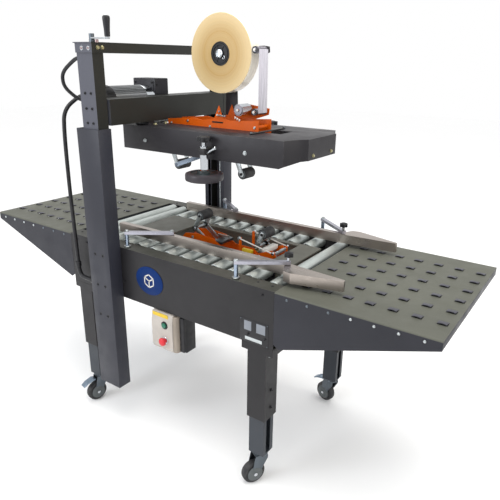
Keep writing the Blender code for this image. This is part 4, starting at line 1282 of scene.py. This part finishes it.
def make_top_tape_head():
    """The top tape head's plates, its dark carrier, and its spring, screws, teeth and cutter."""
    split = 1.3185
    foot = (-1, 0.105), (0.0405, 1)
    plates = carve(node_shape("top_tape_head"), box((-1, 1), (-1, 1), (split, 2), 0),
                   box(*foot, (1.272, split + 0.01), 0))
    carrier = carve(node_shape("top_tape_head"), box((-1, 1), (-1, 1), (1, 1.272), 0),
                    box((0.105, 1), (-1, 1), (1, split), 0),
                    box((-1, 0.106), (-1, 0.0405), (1, split), 0))
    parts = Piece("top_head_plates")
    parts.take(soften(plates, 0.0006, 2, 35), ORANGE)
    parts.take(soften(carrier, 0.0006, 2, 35), HEAD_TOP)
    face = -0.042
    # A black rounded strip on the plate: painted shade standing for a slot.
    parts.take(plate(rounded([(0.03, 1.25), (0.082, 1.25), (0.082, 1.2555), (0.03, 1.2555)],
                             0.0026), "XZ", face - 0.0005, face + 0.0006, 0.0002), PAINTED_SHADE)
    parts.take(spring((0.06, face - 0.004, 1.279), (0.092, face - 0.004, 1.277), 0.0026,
                      0.0006, 14), ZINC)
    for x, z, material in ((0.058, 1.279, WHITE), (0.093, 1.277, STEEL_PINK),
                           (0.066, 1.292, STEEL_PINK)):
        parts.take(across(x, z, face - 0.006, face + 0.001, 0.0034, 24), material)
    side_bolts(parts, 0.042, [(-0.175, 1.235), (0.02, 1.235), (0.222, 1.245),
                              (-0.09, 1.248)], 0.0024)
    for body in ("guide_roller_top", "guide_roller_low", "clutch_roller"):
        x, z = pivot(body).xz
        parts.take(turned(x, z, -0.0336, -1, [(0, 0), (0, 0.0046), (0.0022, 0.0046),
                                              (0.0028, 0.004), (0.0028, 0)], 24), WHITE)
    arm = link(pivot("tape_roll").xz, pivot("guide_roller_top").xz, 0.02, 0.011)
    parts.take(plate(arm, "XZ", 0.0452, 0.0478, 0.0006), HEAD_TOP)
    for i in range(3):
        tooth = [(x + 0.009 * i, z - 0.0036 * i)
                 for x, z in ((0.136, 1.279), (0.143, 1.276), (0.137, 1.269))]
        parts.take(plate(tooth, "XZ", face - 0.003, face - 0.0006, 0.0002), WHITE)
    parts.take(blade(-0.02, 0.04, 1.146, 1.134), STAINLESS)
    parts.take(box((-0.022, 0.042), (-0.0385, 0.0385), (1.144, 1.152), 0.001), FORK)
    parts.show("lift", "orange_paint", "top_tape_head")


def make_low_tape_head():
    """What shows on the low tape head: springs, a nylon block, a cutter and two tie links."""
    keep("low_tape_head", ORANGE, 0.0007)
    parts = Piece("low_head_fittings")
    parts.take(box((0.262, 0.286), (-0.0375, 0.0375), (0.786, 0.803), 0.002), WHITE)
    parts.take(box((0.18, 0.226), (-0.056, -0.0425), (0.77, 0.79), 0.0025), YELLOW)
    for x, z in ((0.318, 0.79), (0.338, 0.77), (0.356, 0.748)):
        parts.take(spring((x, -0.0365, z), (x, 0.0365, z), 0.0056, 0.001, 16), ZINC)
        parts.take(across(x, z, -0.044, 0.044, 0.0026, 20), ZINC)
    side_bolts(parts, 0.042, [(-0.165, 0.69), (0.11, 0.685), (0.355, 0.69), (-0.08, 0.78),
                              (0.25, 0.768)], 0.003)
    start, end = (0.165, 0.826), (0.318, 0.796)
    for y in (-0.052, 0.052):
        parts.take(rod((start[0], y, start[1]), (end[0], y, end[1]), 0.0026, 20), WHITE)
        for x, z in (start, end):
            parts.take(across(x, z, y - 0.005, y + 0.005, 0.0056, 24), CHROME)
            bottom = 0.766 if x < 0.2 else 0.78
            parts.take(box((x - 0.005, x + 0.005), sorted((y * 0.8, y * 0.92)),
                           (bottom, z + 0.003), 0.0008), ORANGE)
    parts.take(blade(0.02, 0.078, 0.786, 0.802), STAINLESS)
    parts.take(box((0.03, 0.07), (-0.0385, 0.0385), (0.776, 0.787), 0.001), FORK)
    parts.show("frame", "zinc")


def make_tape_arm(name):
    """A bent arm of two zinc plates on a cross tube, and its rubber-covered roller."""
    up = name.startswith("top")
    hinge, wheel = pivot(name + "_arm"), pivot(name + "_roller")
    elbow = hinge + (Vector((-0.075, 0, -0.056)) if up else Vector((-0.078, 0, 0.061)))
    arm = Piece(name + "_link")
    for sign in SIDES.values():
        face = side_pair(sign, 0.0313, 0.0345)
        for (a, ra), (b, rb) in (((hinge, 0.0115), (elbow, 0.011)),
                                 ((elbow, 0.011), (wheel, 0.0095))):
            arm.take(plate(link((a.x, a.z), (b.x, b.z), ra, rb), "XZ", *face, 0.0007), ZINC)
        for spot, size in ((hinge, 0.004), (elbow, 0.003), (wheel, 0.0034)):
            kind, material = ("socket", BLACK) if spot is wheel else ("hex", CHROME)
            bolt(arm, (spot.x, 0.0345 * sign, spot.z), (0, sign, 0), size, kind, material)
    arm.take(across(hinge.x, hinge.z, -0.037, 0.037, 0.0072, 32), ZINC)
    arm.take(across(elbow.x, elbow.z, -0.033, 0.033, 0.0052, 28), ZINC)
    arm.take(across(wheel.x, wheel.z, -0.0345, 0.0345, 0.005, 28), CHROME)
    if name == "top_rear":
        bar = link(wheel.xz, wheel.xz + Vector((0.135, 0.05)), 0.0085, 0.008)
        arm.take(plate(bar, "XZ", -0.0385, -0.035, 0.0006), BLUE_STEEL)
    arm.show(name + "_arm", "zinc", name + "_arm")
    roller = Piece(name + "_tyre")
    roller.take(turned(wheel.x, wheel.z, -0.0305, 1, [
        (0.001, 0.015), (0, 0.0165), (0.0004, 0.0188), (0.0022, 0.0199), (0.0588, 0.0199),
        (0.0606, 0.0188), (0.061, 0.0165), (0.06, 0.015), (0.001, 0.015)], 56), RUBBER)
    roller.take(tube(wheel.x, wheel.z, -0.03, 1, 0.0058, 0.0152, 0.06), GREY)
    roller.show(name + "_roller", "rubber", name + "_roller")


def make_tape_roll():
    """The wound tape on its core, its black hub, and the nut and clip that hold it."""
    axis = pivot("tape_roll")
    low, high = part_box("tape_roll")
    x, z, near = axis.x, axis.z, low.y + 0.004
    wide = high.y - near
    roll = Piece("tape_reel")
    roll.take(turned(x, z, near, 1, [
        (0.0006, 0.04), (0, 0.041), (0, 0.1335), (0.0006, 0.1347), (wide - 0.0006, 0.1347),
        (wide, 0.1335), (wide, 0.041), (wide - 0.0006, 0.04), (0.0006, 0.04)], 160),
        TAPE_SIDE)
    roll.take(tube(x, z, near + 0.0009, 1, 0.134, 0.13495, wide - 0.0018, 160), TAPE_OUTER)
    roll.take(turned(x, z, near, 1, [
        (0, 0.0088), (0, 0.029), (-0.0028, 0.03), (-0.0028, 0.0335), (-0.0002, 0.0345),
        (-0.0002, 0.0365), (-0.0022, 0.0375), (-0.0022, 0.0402), (0.001, 0.0412),
        (wide, 0.0405), (wide, 0.0088), (0, 0.0088)], 96), BLACK)
    for i in range(6):
        roll.take(box((0.0155, 0.03), (near - 0.0022, near + 0.0005), (-0.0015, 0.0015),
                      0.0004), BLACK, dial(x, z, i, 6))
    clip = [around((0.0205, 0), reach, math.radians(a))
            for reach, angles in ((0.006, range(-140, 141, 20)), (0.004, range(140, -141, -20)))
            for a in angles]
    roll.take(plate(clip, "XZ", near - 0.0034, near - 0.002, 0.0003), CHROME,
              dial(x, z, 0, 1, math.radians(38)))
    roll.show("tape_roll", "tape_amber", "tape_roll")
    hub = Piece("roll_nut")
    hub.take(turned(x, z, near - 0.0045, -1, [
        (0, 0), (0, 0.0135), (0.0012, 0.0142), (0.0034, 0.0142), (0.004, 0.011),
        (0.007, 0.0108), (0.0076, 0.01), (0.0076, 0)], 48), CHROME)
    hub.take(turned(x, z, near - 0.008, -1, [(0, 0), (0, 0.0086), (0.0036, 0.0086),
                                              (0.0042, 0.0078), (0.0042, 0)], 6), CHROME)
    hub.show("lift", "chrome")


def make_guide_rollers():
    """The two ribbed guide rollers, the clutch roller, and the film that runs to them."""
    for name in ("guide_roller_top", "guide_roller_low"):
        axis = pivot(name)
        low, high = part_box(name)
        ribs = [(0, 0.005), (0, 0.0108), (0.001, 0.012), (0.0048, 0.012), (0.0052, 0.011)]
        y = 0.006
        while y < 0.055:
            ribs += [(y, 0.011), (y + 0.0004, 0.0116), (y + 0.002, 0.0116), (y + 0.0024, 0.011)]
            y += 0.0036
        ribs += [(0.0568, 0.011), (0.0572, 0.012), (0.061, 0.012), (0.062, 0.0108),
                 (0.062, 0.005), (0, 0.005)]
        roller = Piece(name + "_ribbed")
        roller.take(turned(axis.x, axis.z, low.y, 1, ribs, 48), DISC_GREY)
        for start, way in ((low.y - 0.0002, 1), (high.y + 0.0002, -1)):
            roller.take(turned(axis.x, axis.z, start, way, [
                (0, 0.007), (0, 0.0118), (0.005, 0.01215), (0.005, 0.007), (0, 0.007)], 40),
                BLACK)
        roller.show(name, "grey_roller", name)
    axis = pivot("clutch_roller")
    low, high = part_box("clutch_roller")
    roller = Piece("clutch_roller_knurled")
    outline = []
    for i in range(60):
        for shift, radius in ((0.0, 0.0208), (0.5, 0.0201)):
            outline.append(around(axis.xz, radius, 2 * math.pi * (i + shift) / 60))
    roller.take(plate(outline, "XZ", low.y + 0.003, high.y - 0.003, 0,
                      [circle((axis.x, axis.z), 0.0048, 20)]), CHROME)
    for start, way in ((low.y, 1), (high.y, -1)):
        roller.take(turned(axis.x, axis.z, start, way, [
            (0, 0.0062), (0, 0.0165), (0.0014, 0.019), (0.0034, 0.0196), (0.0034, 0.005),
            (0.0014, 0.005), (0.0014, 0.0062), (0, 0.0062)], 48), DISC_GREY)
    roller.show("clutch_roller", "chrome", "clutch_roller")
    top = pivot("guide_roller_top")
    low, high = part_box("tape_web")
    inner, outer = 0.0128, 0.0139
    outline = [(top.x + inner, low.z), (top.x + outer, low.z)]
    outline += [around(top.xz, radius, math.radians(a))
                for radius, angles in ((outer, range(0, 13, 6)), (inner, range(12, -1, -6)))
                for a in angles]
    strip = plate(outline, "XZ", low.y + 0.002, high.y + 0.007, 0.0001)
    Piece("tape_film").take(strip, FILM).show("lift", "tape_clear", "tape_web")


make_head()
make_press_posts()
make_top_tape_head()
make_low_tape_head()
for name in ("top_front", "top_rear", "low_front", "low_rear"):
    make_tape_arm(name)
make_tape_roll()
make_guide_rollers()


# ---------------------------------------------------------------- carton guides
def make_guides(name, sign):
    """One side's guide rail on its two swing arms, with its clamp knob."""
    keep("guide_rail_" + name, STAINLESS, 0.0012)
    for where in ("front", "rear"):
        node = f"guide_arm_{where}_{name}"
        keep(node, ARM_ZINC, 0.0012)
        post, top = pivot(node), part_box(node)[1].z
        end = Vector((post.x + 0.14, 0.205 * sign))
        fittings = Piece(f"guide_bolts_{where}_{name}")
        bolt(fittings, (post.x, post.y, top), (0, 0, 1), 0.004, "hex", ZINC)
        collar = BED_TOP + 0.006
        fittings.take(upright(post.x, post.y, BED_TOP + 0.0004, collar, 0.0125, 32, 0.001), ZINC)
        fittings.take(upright(post.x, post.y, collar, top - 0.012, 0.0074, 32, 0.0004),
                      BLUE_STEEL)
        if where == "rear":
            bolt(fittings, (end.x, end.y, top), (0, 0, 1), 0.004, "hex", ZINC)
        fittings.show(node, "zinc")
    node = "guide_knob_" + name
    at, low, high = pivot(node), *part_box(node)
    handle = Piece("guide_star_" + name)
    handle.take(upright(at.x, at.y, low.z, high.z - 0.01, 0.006, 24), CHROME)
    knob(handle, (at.x, at.y), high.z - 0.0125, high.z + 0.001, 0.0165)
    handle.show(node, "black_plastic", node)


for name, sign in SIDES.items():
    make_guides(name, sign)


# ---------------------------------------------------------------- control box
def make_control_box():
    """A beige front with button holes and a blank label, on a black back box."""
    low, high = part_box("control_box")
    face, back, top, split = low.y, high.y, 0.577, 0.066
    start, stop = middle("start_button"), middle("stop_button")
    profile = rounded([(-0.303, low.z + 0.001), (-0.303, top - 0.001), (face + 0.006, top - 0.001),
                       (face + 0.0003, top - 0.04), (face + 0.0003, low.z + 0.012),
                       (face + 0.006, low.z + 0.001)], 0.006)
    front = plate(profile, "YZ", low.x + 0.0004, split, 0.0022)
    holes = [across(b.x, b.z, face - 0.01, face + 0.012, radius, 40, 0.0001)
             for b, radius in ((start, 0.0119), (stop, 0.0099))]
    case = Piece("control_case").take(carve(front, *holes), BEIGE)
    # The case's side in the darker beige: painted shade.
    wing = [(split - 0.001, face + 0.004), (split + 0.012, face + 0.009),
            (split + 0.017, face + 0.018), (split + 0.019, -0.303), (split - 0.001, -0.303)]
    case.take(plate(rounded(wing, 0.004), "XY", low.z + 0.004, top - 0.004, 0.0015), SHADED_BEIGE)
    case.take(box((low.x + 0.001, high.x), (-0.304, back), (low.z + 0.0005, top - 0.0005),
                  0.003), BLACK)
    case.take(box((split + 0.016, high.x - 0.001), (face + 0.022, -0.3),
                  (low.z + 0.006, top - 0.008), 0.003), BLACK)
    case.take(box((0.01, 0.07), (-0.285, -0.255), (top - 0.002, high.z), 0.0004), CHARCOAL)
    for button, radius, material in ((start, 0.0119, BLACK), (stop, 0.0099, CHROME)):
        case.take(turned(button.x, button.z, face + 0.0006, -1, [
            (0, radius), (0, radius + 0.004), (0.0012, radius + 0.0038),
            (0.002, radius + 0.0026), (0.002, radius), (0, radius)], 48), material)
    for x in (low.x + 0.0075, split - 0.0075):
        bolt(case, (x, face + 0.0003, low.z + 0.018), (0, -1, 0), 0.0016, "dome", ZINC)
    lean = (Matrix.Translation((0.0055, face + 0.0036, 0.5625))
            @ Matrix.Rotation(math.radians(8.6), 4, "X"))
    case.take(box((-0.0385, 0.0385), (-0.0009, 0.0004), (-0.015, 0.012), 0.0002), YELLOW, lean)
    case.show("frame", "beige_plastic", "control_box")

    green = Piece("start_cap")
    green.take(turned(start.x, start.z, face + 0.002, -1, [
        (0, 0), (0, 0.0105), (0.006, 0.0105), (0.0078, 0.01), (0.0086, 0.0085),
        (0.009, 0.006), (0.009, 0)], 48), GREEN)
    green.show("start_button", "green_plastic", "start_button")
    red = Piece("stop_mushroom")
    red.take(turned(stop.x, stop.z, face + 0.002, -1, [
        (0, 0), (0, 0.0088), (0.012, 0.0088), (0.0122, 0.0135), (0.014, 0.0155),
        (0.0175, 0.016), (0.021, 0.015), (0.024, 0.0115), (0.0255, 0.0065),
        (0.026, 0)], 56), RED)
    red.show("stop_button", "red_plastic", "stop_button")


make_control_box()


for node in NODES:
    if not NODES[node].hide_render and not NODES[node].modifiers:
        keep(node, CHARCOAL)
